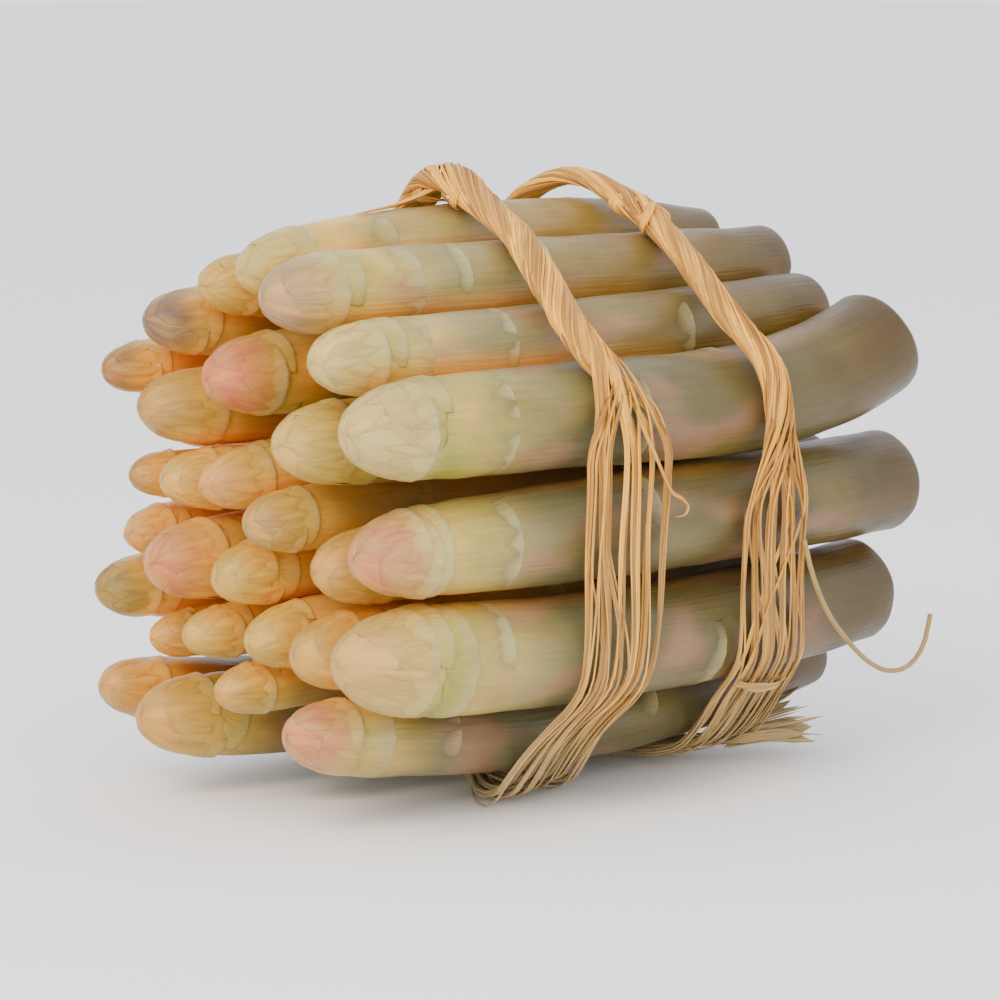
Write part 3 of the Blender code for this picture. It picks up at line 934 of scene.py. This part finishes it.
def add_leaf(mesh, line, form, tip, foot, angle, half_angle, number):
    """One scale leaf of the given form; tip and foot are distances, the angles are in degrees"""
    turn = SPEAR_FINISH[line.name][3]
    middle_angle = math.radians(angle)
    half_angle = math.radians(half_angle)

    def place(along, around):
        share = along ** ROWS_TOWARDS_TIP
        distance = tip + (foot - tip) * share
        phase = 2.0 * math.pi * around
        across = math.copysign(abs(math.cos(phase)) ** 0.8, math.cos(phase))
        level = math.copysign(abs(math.sin(phase)) ** 0.6, math.sin(phase))
        widening = math.sqrt(max(1.0 - (1.0 - min(share / WIDEST_AT, 1.0)) ** 2, 0.0))
        here = middle_angle + half_angle * widening * across
        distance -= FOOT_CURVE * (foot - tip) * across * across * share
        thickness = 0.5 * form["thick"] * min(1.0, share / 0.05 + 0.3)
        wave = LEAF_WAVE * noise.noise(Vector((here * 3.0, distance * 0.3, number * 5.0 + turn)))
        lift = mixed(form["rise"], form["foot_rise"], ease(0.05, 0.95, share)) + wave
        lift -= form["side_sink"] * ease(0.55, 1.0, abs(across))
        lift += thickness * level if level > 0.0 else 2.0 * thickness * level
        if along > 0.999:
            lift = LEAF_END_LIFT
        colour = skin_tint(line, distance, here)
        paleness = form["pale"] * ease(0.35, 0.9, share) * (1.0 - ease(0.5, 1.0, abs(across)))
        colour = mixed(colour, SCALE_PALE, paleness)
        # The raised foot gets a paler margin and a painted highlight
        foot_edge = ease(0.84, 0.95, share) * (1.0 - ease(0.55, 0.95, abs(across)))
        pale_rim_and_highlight = form["rim"] * max(foot_edge, form["outline"] * ease(0.8, 1.0, abs(across)))
        colour = mixed(colour, RIM_PALE_AND_HIGHLIGHT, pale_rim_and_highlight)
        grain_here = (across * half_angle * line.bud, number * 17.0 + turn, distance)
        return on_spear(line, distance, here, lift), colour, grain_here

    rolled_grid(mesh, LEAF_ROWS, LEAF_AROUND, place)


print("a leaf has", LEAF_ROWS * LEAF_AROUND, "faces")

# %% Where the leaves sit
SPIRAL_STEP = 144.0

# In bud radii from the tip of the spear
DOME_TIPS = (0.0, 0.1, 0.3, 0.55)
DOME_LEAF_LENGTH = 1.35
COLLAR_TIPS = (0.95, 1.25, 1.6)
COLLAR_FEET = (1.8, 2.15, 2.6)

# In millimetres from the tip of the spear
BRACT_FEET = (38.0, 54.0, 78.0, 106.0)
BARE_END = 14.0

# Bracts that the photograph shows on the near spears: tip and foot in millimetres from the tip of
# the spear, angle (0 is the near side and 90 is up) and half width in degrees
SHOWN_BRACTS = {
    "spear_01": ((7.0, 17.3, 40.0, 95.0), (30.0, 41.0, 0.0, 80.0)),
    "spear_02": (
        (8.0, 18.0, 30.0, 100.0), (12.0, 22.6, 60.0, 75.0),
        (27.0, 39.4, 10.0, 95.0), (43.0, 53.3, 40.0, 60.0),
    ),
    "spear_03": (
        (7.0, 15.8, 10.0, 105.0), (13.0, 21.0, 65.0, 75.0), (19.0, 28.0, 5.0, 95.0),
        (44.0, 52.0, 35.0, 75.0),
    ),
    "spear_04": (
        (8.0, 18.2, -5.0, 105.0), (14.0, 23.5, 80.0, 55.0), (31.5, 40.6, 14.0, 95.0),
    ),
    "spear_05": (
        (6.0, 15.0, 50.0, 75.0), (9.0, 18.0, -30.0, 85.0), (12.0, 20.5, 15.0, 100.0),
        (30.0, 39.5, 5.0, 85.0),
    ),
    "spear_06": (
        (9.0, 19.4, 10.0, 100.0), (14.0, 24.0, 70.0, 70.0), (20.0, 30.0, 0.0, 95.0),
        (30.0, 41.0, 45.0, 60.0),
    ),
    "spear_07": ((7.0, 15.5, 60.0, 80.0), (12.0, 24.7, 5.0, 95.0), (33.0, 44.0, 30.0, 65.0)),
}
print(sum(len(bracts) for bracts in SHOWN_BRACTS.values()), "bracts shown on the near spears")

# %% Dome leaves, collar scales and shaft bracts


def add_leaves(mesh, line, chance):
    """All leaves of one spear: its dome, then shown bracts or collar scales, then single bracts"""
    turn = SPEAR_FINISH[line.name][3]
    for number, tip in enumerate(DOME_TIPS):
        length = DOME_LEAF_LENGTH * line.bud * chance.uniform(0.95, 1.1)
        start = tip * line.bud * chance.uniform(0.95, 1.05)
        angle = turn + number * SPIRAL_STEP + chance.uniform(-8.0, 8.0)
        half_angle = chance.uniform(70.0, 82.0)
        add_leaf(mesh, line, DOME_FORM, start, start + length, angle, half_angle, number)
    if line.name in SHOWN_BRACTS:
        for number, facts in enumerate(SHOWN_BRACTS[line.name]):
            add_leaf(mesh, line, BRACT_FORM, *facts, 20 + number)
        feet = BRACT_FEET[2:]
    else:
        for number, (tip, foot) in enumerate(zip(COLLAR_TIPS, COLLAR_FEET)):
            angle = turn + 20.0 + number * SPIRAL_STEP + chance.uniform(-15.0, 15.0)
            half_angle = chance.uniform(80.0, 100.0)
            start = tip * line.bud
            add_leaf(mesh, line, BRACT_FORM, start, foot * line.bud, angle, half_angle, 20 + number)
        feet = BRACT_FEET
    for number, foot in enumerate(feet):
        place = foot + chance.uniform(-4.0, 4.0)
        if place > line.length - BARE_END:
            continue
        angle = turn + number * SPIRAL_STEP + chance.uniform(-20.0, 20.0)
        length = chance.uniform(9.0, 13.0)
        half_angle = chance.uniform(60.0, 85.0)
        add_leaf(mesh, line, BRACT_FORM, place - length, place, angle, half_angle, 30 + number)


def build_spear(line):
    """Body and leaves of one spear as one piece"""
    mesh = start_mesh()
    add_body(mesh, line)
    add_leaves(mesh, line, random.Random(line.name))
    return finish_piece(mesh, line.name + "_skin", [skin, cut_flesh], "spear_skin", line.name)


spear_pieces = [build_spear(lines[name]) for name in SPEARS]
print(len(spear_pieces), "spears,", sum(len(p.data.polygons) for p in spear_pieces), "faces")

# %% [markdown]
# ## Warm gaps
# Light that falls between the spears passes through moist flesh and bounces from skin to skin
# before it comes out, and each time it gets more orange. The gap from each point to the next
# spear is known from the centre lines, so points in narrow gaps get a warmer, deeper tint. It is
# painted and not simulated, and it fades towards the cut ends, where the skin is dry.

# %% Warm the tint where spears are close
GLOW = linear("#ffac3c")
GLOW_REACH = 4.0
GLOW_START = 0.25
GLOW_SHARE = 0.95
FADE_START = 60.0
FADE_LENGTH = 50.0
FADE_SHARE = 0.85
FAR_AWAY = 99.0


def nearness(points, own_name):
    """How closely other spears surround each point, from 0 to 1"""
    total = np.zeros(len(points))
    for name, line in lines.items():
        if name == own_name:
            continue
        distance = points[:, 0] - line.tip_x
        inside = np.clip(distance, 0.0, line.length)
        y = points[:, 1] - np.polyval(line.y_curve, inside)
        z = points[:, 2] - np.polyval(line.z_curve, inside)
        radius = np.interp(inside, line.radius_places, line.radius_values)
        gap = np.hypot(np.hypot(y, z) - radius, np.minimum(distance, 0.0))
        gap = np.where(distance > line.length, FAR_AWAY, gap)
        total += np.exp(-np.clip(gap, 0.0, FAR_AWAY) / GLOW_REACH)
    return np.clip(total, 0.0, 1.0)


def warm_gaps(piece, name):
    """Mixes the glow into the tint of one spear where its neighbours are close"""
    count = len(piece.data.vertices)
    points = np.zeros(count * 3)
    piece.data.vertices.foreach_get("co", points)
    points = points.reshape(count, 3) / MM
    colours = np.zeros(count * 4)
    piece.data.attributes["tint"].data.foreach_get("color", colours)
    colours = colours.reshape(count, 4)
    warmth = nearness(points, name)[:, None]
    warmth = GLOW_SHARE * np.clip((warmth - GLOW_START) / (1.0 - GLOW_START), 0.0, 1.0)
    along = points[:, :1] - lines[name].tip_x
    warmth *= 1.0 - FADE_SHARE * np.clip((along - FADE_START) / FADE_LENGTH, 0.0, 1.0)
    colours[:, :3] = mixed(colours[:, :3], GLOW, warmth)
    piece.data.attributes["tint"].data.foreach_set("color", colours.ravel())


for piece, name in zip(spear_pieces, SPEARS):
    warm_gaps(piece, name)
print("gaps warmed")

# %% [markdown]
# ## The raffia ties
# Each tie is a handful of torn strips. On top they are twisted together into a rope of two plies,
# and down the sides they fan out into single flat strips, to be gathered again under the bundle.
# The frame's solid gives the course of the band: its middle, its width and how far it lies from
# the middle of the bundle in every direction. Each strip then gets its own lane in the fan and
# its own place in the rope.

# %% Measure the course of each tie
TIE_MIDDLE_Y = 3.892
TIE_MIDDLE_Z = 72.0
COURSE_STEPS = 72
COURSE_WINDOW = 2.6


class TieCourse:
    """Middle, half width and reach of a tie by angle: 90 is the top, 180 the near side"""

    def __init__(self, node):
        mesh = merged_copy(node)
        points = np.array([vertex.co for vertex in mesh.verts]) / MM
        mesh.free()
        y = points[:, 1] - TIE_MIDDLE_Y
        z = points[:, 2] - TIE_MIDDLE_Z
        angle = np.degrees(np.arctan2(z, y)) % 360.0
        reach = np.hypot(y, z)
        self.angles = np.arange(COURSE_STEPS) * 360.0 / COURSE_STEPS
        rows = []
        for here in self.angles:
            near = np.abs((angle - here + 180.0) % 360.0 - 180.0) < COURSE_WINDOW
            x = points[near, 0]
            rows.append((0.5 * (x.min() + x.max()), 0.5 * np.ptp(x), reach[near].min()))
        rows = np.array(rows)
        smooth = 0.5 * rows + 0.25 * (np.roll(rows, 1, axis=0) + np.roll(rows, -1, axis=0))
        self.middle = smooth[:, 0]
        self.half_width = smooth[:, 1]
        self.inner = rows[:, 2]

    def at(self, angle):
        """Middle and half width along the spears, and reach from the middle, at an angle"""
        return tuple(
            np.interp(angle % 360.0, self.angles, values, period=360.0)
            for values in (self.middle, self.half_width, self.inner)
        )


courses = {name: TieCourse(name) for name in ("tie_front", "tie_rear")}
print("tie courses measured")

# %% A strip of raffia along a line
STRIP_AROUND = 8
TAPER_LENGTH = 5.0
FOLD = 0.35
FOLD_SINK = 0.2
LOWEST_POINT = 0.15
RAFFIA_LIGHT = linear("#f5b038")
RAFFIA_DARK = linear("#88591a")
# Greyer straw tone that the strips take on lower down
RAFFIA_LOW_TONE = linear("#b39b68")


def add_strip(mesh, points, outward, half_width, half_thickness, twist, tone, seed):
    """Flat strip along points in millimetres; twist is its roll in radians at each point"""
    points = np.asarray(points, float)
    forward = np.gradient(points, axis=0)
    forward /= np.linalg.norm(forward, axis=1)[:, None]
    side = np.cross(forward, outward)
    side /= np.linalg.norm(side, axis=1)[:, None]
    raised = np.cross(side, forward)
    steps = np.linalg.norm(np.diff(points, axis=0), axis=1)
    length = np.concatenate([[0.0], np.cumsum(steps)])
    last = len(points) - 1

    def place(along, around):
        index = round(along * last)
        to_end = min(length[index], length[-1] - length[index])
        taper = min(1.0, to_end / TAPER_LENGTH)
        phase = 2.0 * math.pi * around
        wide = half_width * taper * math.cos(phase)
        fold = FOLD * half_width * taper * abs(math.cos(phase)) - FOLD_SINK * half_width * taper
        high = half_thickness * taper * math.sin(phase) + fold
        roll = twist[index]
        a = wide * math.cos(roll) - high * math.sin(roll)
        b = wide * math.sin(roll) + high * math.cos(roll)
        spot = points[index] + side[index] * a + raised[index] * b
        spot[2] = max(spot[2], LOWEST_POINT)
        # Lower down, towards the table, each strip is mixed towards a greyer straw tone
        lowness = 0.6 * (1.0 - ease(2.0, 34.0, spot[2])) + 0.3 * (1.0 - ease(15.0, 90.0, spot[2]))
        colour = mixed(tone, RAFFIA_LOW_TONE, lowness)
        grain_here = (math.cos(phase) * half_width, seed * 7.0, length[index])
        return Vector(spot) * MM, colour, grain_here

    rolled_grid(mesh, last, STRIP_AROUND, place)


def raffia_tone(random_values):
    """Straw colour of one strip"""
    return mixed(RAFFIA_DARK, RAFFIA_LIGHT, random_values.uniform(0.1, 1.0))


print("strips have", STRIP_AROUND, "points around")

# %% [markdown]
# ## A twisted band on top, a fan at the side
# A strip's place across the band is a blend of two: a point on the slightly flattened, slowly
# turning band, and a lane in the fan. The blend changes with the angle round the bundle. Lanes
# come in clusters with gaps between them, some strips cross over to another cluster, and below
# the bundle all of them are gathered into a bunch. The last strips are thin and stray from their
# lanes on top of the others. Where the real tie leaves the frame's course, a few pushes move the
# strips along the spears and one lift raises the rope. A push or lift says at which angle it is
# strongest, over how many degrees it fades and how many millimetres it has.

# %% What each tie is like
# band: the angles between which the strips form a rope, with band_fade degrees of change outside
# band_wide, band_high: half the rope's size, and turn_length: the length of one of its turns
# lump: where the rope is thickest, over how many degrees, and by what share
# clusters: lanes of the fan from -1 to 1, and crossing: how many strips change their cluster
# bunch: how much the strips pile up where they are gathered
# spread, widening: width of the fan against the frame's, and how it grows where it is gathered
TIE_PLANS = {
    "tie_front": {
        "strips": 38,
        "band": (50.0, 148.0),
        "band_fade": 24.0,
        "band_wide": 4.7,
        "band_high": 1.9,
        "turn_length": 50.0,
        "lump": (86.0, 9.0, 0.5),
        "lift": (83.0, 10.0, 2.2),
        "clusters": (-0.95, -0.66, -0.36, -0.02, 0.3, 0.66, 0.98),
        "pushes": ((88.0, 16.0, -2.5), (138.0, 34.0, -6.0), (240.0, 22.0, -7.5), (278.0, 14.0, 9.0)),
        "bunch": 3.2,
        "spread": 1.15,
        "widening": 0.3,
        "crossing": 3,
        "seed": 3,
    },
    "tie_rear": {
        "strips": 32,
        "band": (46.0, 166.0),
        "band_fade": 22.0,
        "band_wide": 3.8,
        "band_high": 1.8,
        "turn_length": 65.0,
        "lump": (103.0, 6.0, 0.3),
        "lift": (78.0, 14.0, 2.6),
        "clusters": (-0.85, -0.55, -0.1, 0.2, 0.55, 0.9),
        "pushes": ((74.0, 16.0, -9.0), (152.0, 34.0, -10.0), (205.0, 20.0, -3.0), (240.0, 14.0, 4.0)),
        "bunch": 1.2,
        "spread": 1.6,
        "widening": -0.1,
        "crossing": 6,
        "seed": 8,
    },
}
print(len(TIE_PLANS), "ties planned")

# %% Path of one strip
STRIP_STEPS = 150
STRIP_END_ANGLE = 72.0
STRIP_OVERLAP = 14.0
BAND_MIDDLE_ANGLE = 86.0
BAND_REACH = 64.0
BAND_CLEARANCE = 0.6
ROLL_OF_BAND = 0.9
ROLL_OF_FAN = 0.35
LOWEST_CENTRE = 0.5
BUNDLE_MIDDLE = np.array([0.0, TIE_MIDDLE_Y, TIE_MIDDLE_Z])

# Angles round the bundle, in degrees, between which strips cross, gather and run underneath
CROSS_IN = (182.0, 222.0)
CROSS_OUT = (240.0, 300.0)
GATHER_IN = (222.0, 246.0)
GATHER_OUT = (254.0, 272.0)
UNDER_IN = (250.0, 268.0)
UNDER_OUT = (300.0, 325.0)
UNDER_NARROWING = 0.45


def bump(middle, width, angle):
    """1 at the middle and soft down to 0 about two widths away"""
    return math.exp(-(((angle - middle) / width) ** 2))


def pushed(plan, angle):
    """How far the plan's pushes move a strip along the spears at an angle"""
    return sum(size * bump(spot, width, angle) for spot, width, size in plan["pushes"])


def around_bundle(x, angle, reach):
    """Point in millimetres at an angle and a reach from the middle line, and its direction"""
    radians = math.radians(angle)
    direction = np.array([0.0, math.cos(radians), math.sin(radians)])
    point = BUNDLE_MIDDLE + np.array([x, 0.0, 0.0]) + direction * reach
    point[2] = max(point[2], LOWEST_CENTRE)
    return point, direction


def band_place(plan, angle, turn):
    """Place across the twisted band and height above the spears, greater in lump and lift"""
    lump_angle, lump_width, lump_growth = plan["lump"]
    growth = 1.0 + lump_growth * bump(lump_angle, lump_width, angle)
    across = plan["band_wide"] * growth * math.cos(turn)
    lift_angle, lift_width, lift_height = plan["lift"]
    height = BAND_CLEARANCE + plan["band_high"] * growth * (1.0 + math.sin(turn))
    height += lift_height * bump(lift_angle, lift_width, angle)
    return across, height


def strip_line(course, plan, strip):
    """Points, outward directions and roll of one strip round the bundle"""
    points = []
    outward = []
    roll = []
    low, high = plan["band"]
    fade = plan["band_fade"]
    for step in range(STRIP_STEPS + 1):
        angle = STRIP_END_ANGLE - 180.0 + (360.0 + STRIP_OVERLAP) * step / STRIP_STEPS
        wrapped = (angle - BAND_MIDDLE_ANGLE + 180.0) % 360.0 - (180.0 - BAND_MIDDLE_ANGLE)
        below = wrapped % 360.0
        middle, half_width, inner = course.at(angle)
        banded = between((low - fade, low), (high, high + fade), wrapped)
        run = math.radians(min(max(wrapped, low - fade), high + fade)) * BAND_REACH
        turn = strip["spot"] + 2.0 * math.pi * run / plan["turn_length"]
        across, height = band_place(plan, wrapped, turn)
        wave = math.sin(math.radians(angle) * 3.0 + 6.0 * strip["spot"])
        lane = mixed(strip["lane"], strip["other_lane"], between(CROSS_IN, CROSS_OUT, below))
        lane += strip["drift"] * math.sin(math.radians(below) * 2.5 + strip["drift_start"])
        gathered = between(GATHER_IN, GATHER_OUT, below)
        spread = plan["spread"] * (1.0 + plan["widening"] * gathered)
        spread *= 1.0 - UNDER_NARROWING * between(UNDER_IN, UNDER_OUT, below)
        fan = lane * half_width * spread + strip["wander"] * wave
        level = strip["level"] + plan["bunch"] * strip["deep"] * gathered
        x = middle + pushed(plan, below) + banded * across + (1.0 - banded) * fan
        reach = inner + banded * height + (1.0 - banded) * level
        point, direction = around_bundle(x, angle, reach)
        points.append(point)
        outward.append(direction)
        fan_roll = ROLL_OF_FAN * math.sin(math.radians(angle) * 4.0 + strip["spot"])
        roll.append(banded * ROLL_OF_BAND * math.cos(turn) + fan_roll)
    return points, outward, roll


print("paths have", STRIP_STEPS + 1, "points")

# %% Facts of one strip
GOLDEN_STEP = 0.618
STRAY_STRIPS = 5
STRAY_HALF_WIDTH = 0.22


def make_strip(plan, chance, number):
    """One strip's place in the band, its lane, level, wander and half width"""
    clusters = plan["clusters"]
    cluster = number % len(clusters)
    other = cluster
    if number < plan["crossing"]:
        other = (cluster + 2) % len(clusters)
    offset = chance.uniform(-0.05, 0.05)
    strip = {
        "spot": 2.0 * math.pi * number * GOLDEN_STEP,
        "drift": 0.13 * math.sin(cluster * 2.3 + plan["seed"]) + chance.uniform(-0.03, 0.03),
        "drift_start": cluster * 1.7,
        "lane": clusters[cluster] + offset,
        "other_lane": clusters[other] + offset,
        "level": chance.uniform(0.3, 1.5),
        "deep": chance.uniform(0.0, 1.0),
        "wander": chance.uniform(-0.6, 0.6),
        "half_width": chance.uniform(0.28, 0.8),
    }
    if number >= plan["strips"] - STRAY_STRIPS:
        strip["level"] = chance.uniform(1.8, 3.0)
        strip["wander"] = chance.choice((-1.0, 1.0)) * chance.uniform(1.2, 2.2)
        strip["half_width"] = STRAY_HALF_WIDTH
    return strip


print("the last", STRAY_STRIPS, "strips of a tie stray")

# %% A strip wrapped round the band
WRAP_STEPS = 26
WRAP_START = 0.4 * math.pi
WRAP_HEIGHT = 0.9
WRAP_CLEARANCE = 0.7
WRAP_HALF_THICKNESS = 0.24
WRAP_FADE = 30.0
ADVANCE_PER_TURN = 1.2


def add_wrap(mesh, name, angle, tilt, turns, clearance, half_width, tone):
    """One strip that goes round the band itself at the given angle, as in a half knot"""
    plan = TIE_PLANS[name]
    points = []
    outward = []
    low, high = plan["band"]
    for step in range(int(WRAP_STEPS * turns) + 1):
        phase = 2.0 * math.pi * step / WRAP_STEPS + WRAP_START
        here = angle + tilt * math.cos(phase) + ADVANCE_PER_TURN * step / WRAP_STEPS
        middle, fan_half, inner = courses[name].at(here)
        banded = between((low - WRAP_FADE, low), (high, high + plan["band_fade"]), here % 360.0)
        half_height = mixed(WRAP_HEIGHT, plan["band_high"], banded)
        half_across = mixed(fan_half, plan["band_wide"] + BAND_CLEARANCE, banded)
        x = middle + pushed(plan, here) + (half_across + clearance) * math.cos(phase)
        reach = inner + WRAP_CLEARANCE + half_height + (half_height + clearance) * math.sin(phase)
        point, direction = around_bundle(x, here, reach)
        points.append(point)
        outward.append(direction * math.sin(phase) + np.array([math.cos(phase), 0.0, 0.0]))
    roll = [0.15 * math.sin(step * 0.4) for step in range(len(points))]
    add_strip(mesh, points, outward, half_width, WRAP_HALF_THICKNESS, roll, tone, 70 + int(angle))


print("a wrap has", WRAP_STEPS, "points a turn")

# %% Lay the strips of both ties
# Each wrap: angle round the bundle, tilt in degrees, turns, clearance, half width
TIE_WRAPS = {
    "tie_front": (
        (85.0, 3.0, 1.6, 0.9, 0.9),
        (90.0, -3.5, 1.4, 1.2, 0.8),
        (93.0, 2.5, 1.2, 0.7, 0.7),
    ),
    "tie_rear": (
        (103.0, 4.5, 1.5, 0.8, 0.9),
        (106.0, -4.5, 1.3, 1.0, 0.8),
        (222.0, 0.8, 1.2, 0.6, 1.2),
    ),
}


def build_tie(name):
    """All strips and wraps of one tie as one piece"""
    plan = TIE_PLANS[name]
    chance = random.Random(plan["seed"])
    mesh = start_mesh()
    for number in range(plan["strips"]):
        strip = make_strip(plan, chance, number)
        points, outward, roll = strip_line(courses[name], plan, strip)
        half_thickness = chance.uniform(0.16, 0.3)
        tone = raffia_tone(chance)
        add_strip(mesh, points, outward, strip["half_width"], half_thickness, roll, tone, number)
    for angle, tilt, turns, clearance, half_width in TIE_WRAPS[name]:
        add_wrap(mesh, name, angle, tilt, turns, clearance, half_width, raffia_tone(chance))
    return finish_piece(mesh, name + "_raffia", [raffia], "dry_raffia", name)


tie_pieces = [build_tie(name) for name in TIE_PLANS]
print(len(tie_pieces), "ties,", sum(len(p.data.polygons) for p in tie_pieces), "faces")

# %% [markdown]
# ## Frayed ends
# The rear tie ends in a torn leaf, split into wide and narrow strips, that sticks out under the
# cut ends. One thin end of the front tie curls into a hook on the near side, and a few fibres
# leave its lump on top and run back along the top spear. All of them are strips on free lines.

# %% Torn leaf of the rear tie
TUFT_START = Vector((50.6, -22.9, 5.2))
TUFT_END = Vector((76.5, -36.5, 8.0))
WIDE_STRIPS = 8
THIN_STRIPS = 12
TORN_STEPS = 24
TORN_HALF_THICKNESS = 0.2
TORN_SIDE_STEP = 3.2
TORN_RISE_STEP = 2.2
TORN_OUTWARD = (0.0, -0.35, 0.94)
LEAF_OLIVE = linear("#5a4a2a")
LEAF_OLIVE_PALE = linear("#b09a60")


def torn_strip(mesh, chance, number, lane, half_width, reach, spread, rise, rolling):
    """One strip of the torn leaf, from the tie to its ragged end"""
    forward = TUFT_END - TUFT_START
    side = Vector((0.0, 0.0, 1.0)).cross(forward).normalized()
    raised = Vector((0.0, 0.0, TORN_RISE_STEP * lane + chance.uniform(-0.6, 1.2)))
    start = TUFT_START + side * (lane * TORN_SIDE_STEP) + raised
    bend = chance.uniform(-1.8, 1.8)
    points = []
    for step in range(TORN_STEPS + 1):
        share = step / TORN_STEPS
        spot = start + forward * (reach * share)
        spot = spot + side * (spread * share ** 1.5 + bend * math.sin(3.0 * share))
        spot.z += rise * share * share + math.sin(math.pi * share)
        points.append(tuple(spot))
    outward = [TORN_OUTWARD] * len(points)
    first_roll = chance.uniform(-0.5, 0.5)
    roll = [first_roll + step * rolling for step in range(len(points))]
    tone = mixed(LEAF_OLIVE, LEAF_OLIVE_PALE, chance.random())
    add_strip(mesh, points, outward, half_width, TORN_HALF_THICKNESS, roll, tone, 60 + number)


def build_tuft():
    """The torn leaf: a row of wide strips with thin ones between them"""
    mesh = start_mesh()
    chance = random.Random(21)
    for number in range(WIDE_STRIPS):
        lane = -1.0 + 2.0 * number / (WIDE_STRIPS - 1)
        spread = lane * 4.5 + chance.uniform(-0.8, 0.8)
        torn_strip(
            mesh, chance, number, lane, chance.uniform(1.6, 2.5), chance.uniform(0.6, 0.8),
            spread, 2.0 + 3.0 * lane + chance.uniform(-1.2, 1.2), chance.uniform(-0.02, 0.03),
        )
    for number in range(THIN_STRIPS):
        lane = -1.0 + 2.0 * number / (THIN_STRIPS - 1)
        spread = lane * 7.0 + chance.uniform(-1.5, 1.5)
        torn_strip(
            mesh, chance, 20 + number, lane, chance.uniform(0.35, 0.7), chance.uniform(0.65, 0.88),
            spread, 2.0 + 3.5 * lane + chance.uniform(-2.0, 2.0), chance.uniform(0.0, 0.1),
        )
    return finish_piece(mesh, "tie_tuft_raffia", [raffia], "dry_raffia", "tie_tail")


build_tuft()
print("torn leaf:", WIDE_STRIPS, "wide and", THIN_STRIPS, "thin strips")

# %% Hook and the fibres on the top spear
HOOK_ROUTE = (
    (-17.5, -60.0, 93.0),
    (-14.6, -60.7, 87.0),
    (-12.0, -61.0, 82.4),
    (-9.1, -61.3, 77.0),
    (-6.8, -61.5, 73.5),
    (-3.9, -61.6, 72.0),
    (-2.0, -61.6, 70.1),
    (-3.2, -61.6, 68.2),
    (-6.5, -61.5, 68.1),
)
HOOK_POINTS = 44
HOOK_HALF_WIDTH = 0.75
HOOK_HALF_THICKNESS = 0.25
FREE_FIBRE_ANGLES = (84.0, 92.0, 99.0, 108.0)
FREE_FIBRE_X = (-9.0, -39.0)
FREE_FIBRE_STEPS = 30
FREE_FIBRE_SHORTER = 0.12
FREE_FIBRE_HALF_THICKNESS = 0.22


def add_hook(mesh, chance):
    """The thin end that curls on the near side"""
    points, length = smooth_route(HOOK_ROUTE, HOOK_POINTS)
    points = [tuple(point) for point in points]
    outward = [(0.0, -1.0, 0.0)] * len(points)
    roll = [0.03 * step for step in range(len(points))]
    tone = raffia_tone(chance)
    add_strip(mesh, points, outward, HOOK_HALF_WIDTH, HOOK_HALF_THICKNESS, roll, tone, 90)
    print("hook strip", round(length), "mm")


def add_free_fibre(mesh, chance, number, angle):
    """One fibre that comes down from the lump and runs back along the top spear"""
    line = lines["spear_01"]
    run = (FREE_FIBRE_X[1] - FREE_FIBRE_X[0]) * (1.0 - FREE_FIBRE_SHORTER * number)
    points = []
    outward = []
    for step in range(FREE_FIBRE_STEPS + 1):
        share = step / FREE_FIBRE_STEPS
        distance = FREE_FIBRE_X[0] + run * share - line.tip_x
        here = math.radians(angle + 6.0 * math.sin(4.0 * share + number))
        lift = 0.7 + 5.0 * (1.0 - share) ** 3
        point = on_spear(line, distance, here, lift) / MM
        points.append(tuple(point))
        outward.append(tuple(point - line.centre_at(distance)))
    roll = [0.3 * math.sin(0.2 * step + number) for step in range(len(points))]
    half_width = chance.uniform(0.35, 0.7)
    tone = raffia_tone(chance)
    add_strip(mesh, points, outward, half_width, FREE_FIBRE_HALF_THICKNESS, roll, tone, 95 + number)


def build_free_ends():
    """Hook and free fibres as one piece"""
    mesh = start_mesh()
    chance = random.Random(5)
    add_hook(mesh, chance)
    for number, angle in enumerate(FREE_FIBRE_ANGLES):
        add_free_fibre(mesh, chance, number, angle)
    return finish_piece(mesh, "tie_front_free_ends", [raffia], "dry_raffia")


build_free_ends()
print(len(FREE_FIBRE_ANGLES), "free fibres")

# %% [markdown]
# ## The loose strand's finish
# The fibre is a curve, so it has no painted points. It gets a raffia finish of its own, whose
# streaks read Object coordinates.

# %% Finish of the loose strand
FIBRE_PATCH_WIDTH = 2.5

single_fibre, tree = new_material("dry raffia, single fibre")
place = add(tree, "ShaderNodeTexCoord")
fibre_noise = add(
    tree,
    "ShaderNodeTexNoise",
    {"Scale": 1.0 / (FIBRE_PATCH_WIDTH * MM), "Detail": 3.0},
    {"Vector": place.outputs["Object"]},
)
fibre_colour = add(
    tree,
    "ShaderNodeMix",
    {COLOUR_A: opaque("#75602c"), COLOUR_B: opaque("#a88a48")},
    {"Factor": fibre_noise.outputs["Fac"]},
    data_type="RGBA",
)
fibre_bump = add(
    tree,
    "ShaderNodeBump",
    {"Strength": 0.5, "Distance": 0.2 * MM},
    {"Height": fibre_noise.outputs["Fac"]},
)
shader = add(
    tree,
    "ShaderNodeBsdfPrincipled",
    {"Roughness": 0.65, "Sheen Weight": 0.15},
    {"Base Color": fibre_colour.outputs[MIXED_COLOUR], "Normal": fibre_bump.outputs["Normal"]},
)
add(tree, "ShaderNodeOutputMaterial", links={"Surface": shader.outputs["BSDF"]})
strand_curve.materials.append(single_fibre)
print("finish:", single_fibre.name)

# %% [markdown]
# ## Last update

# %% Update the scene
bpy.context.view_layer.update()
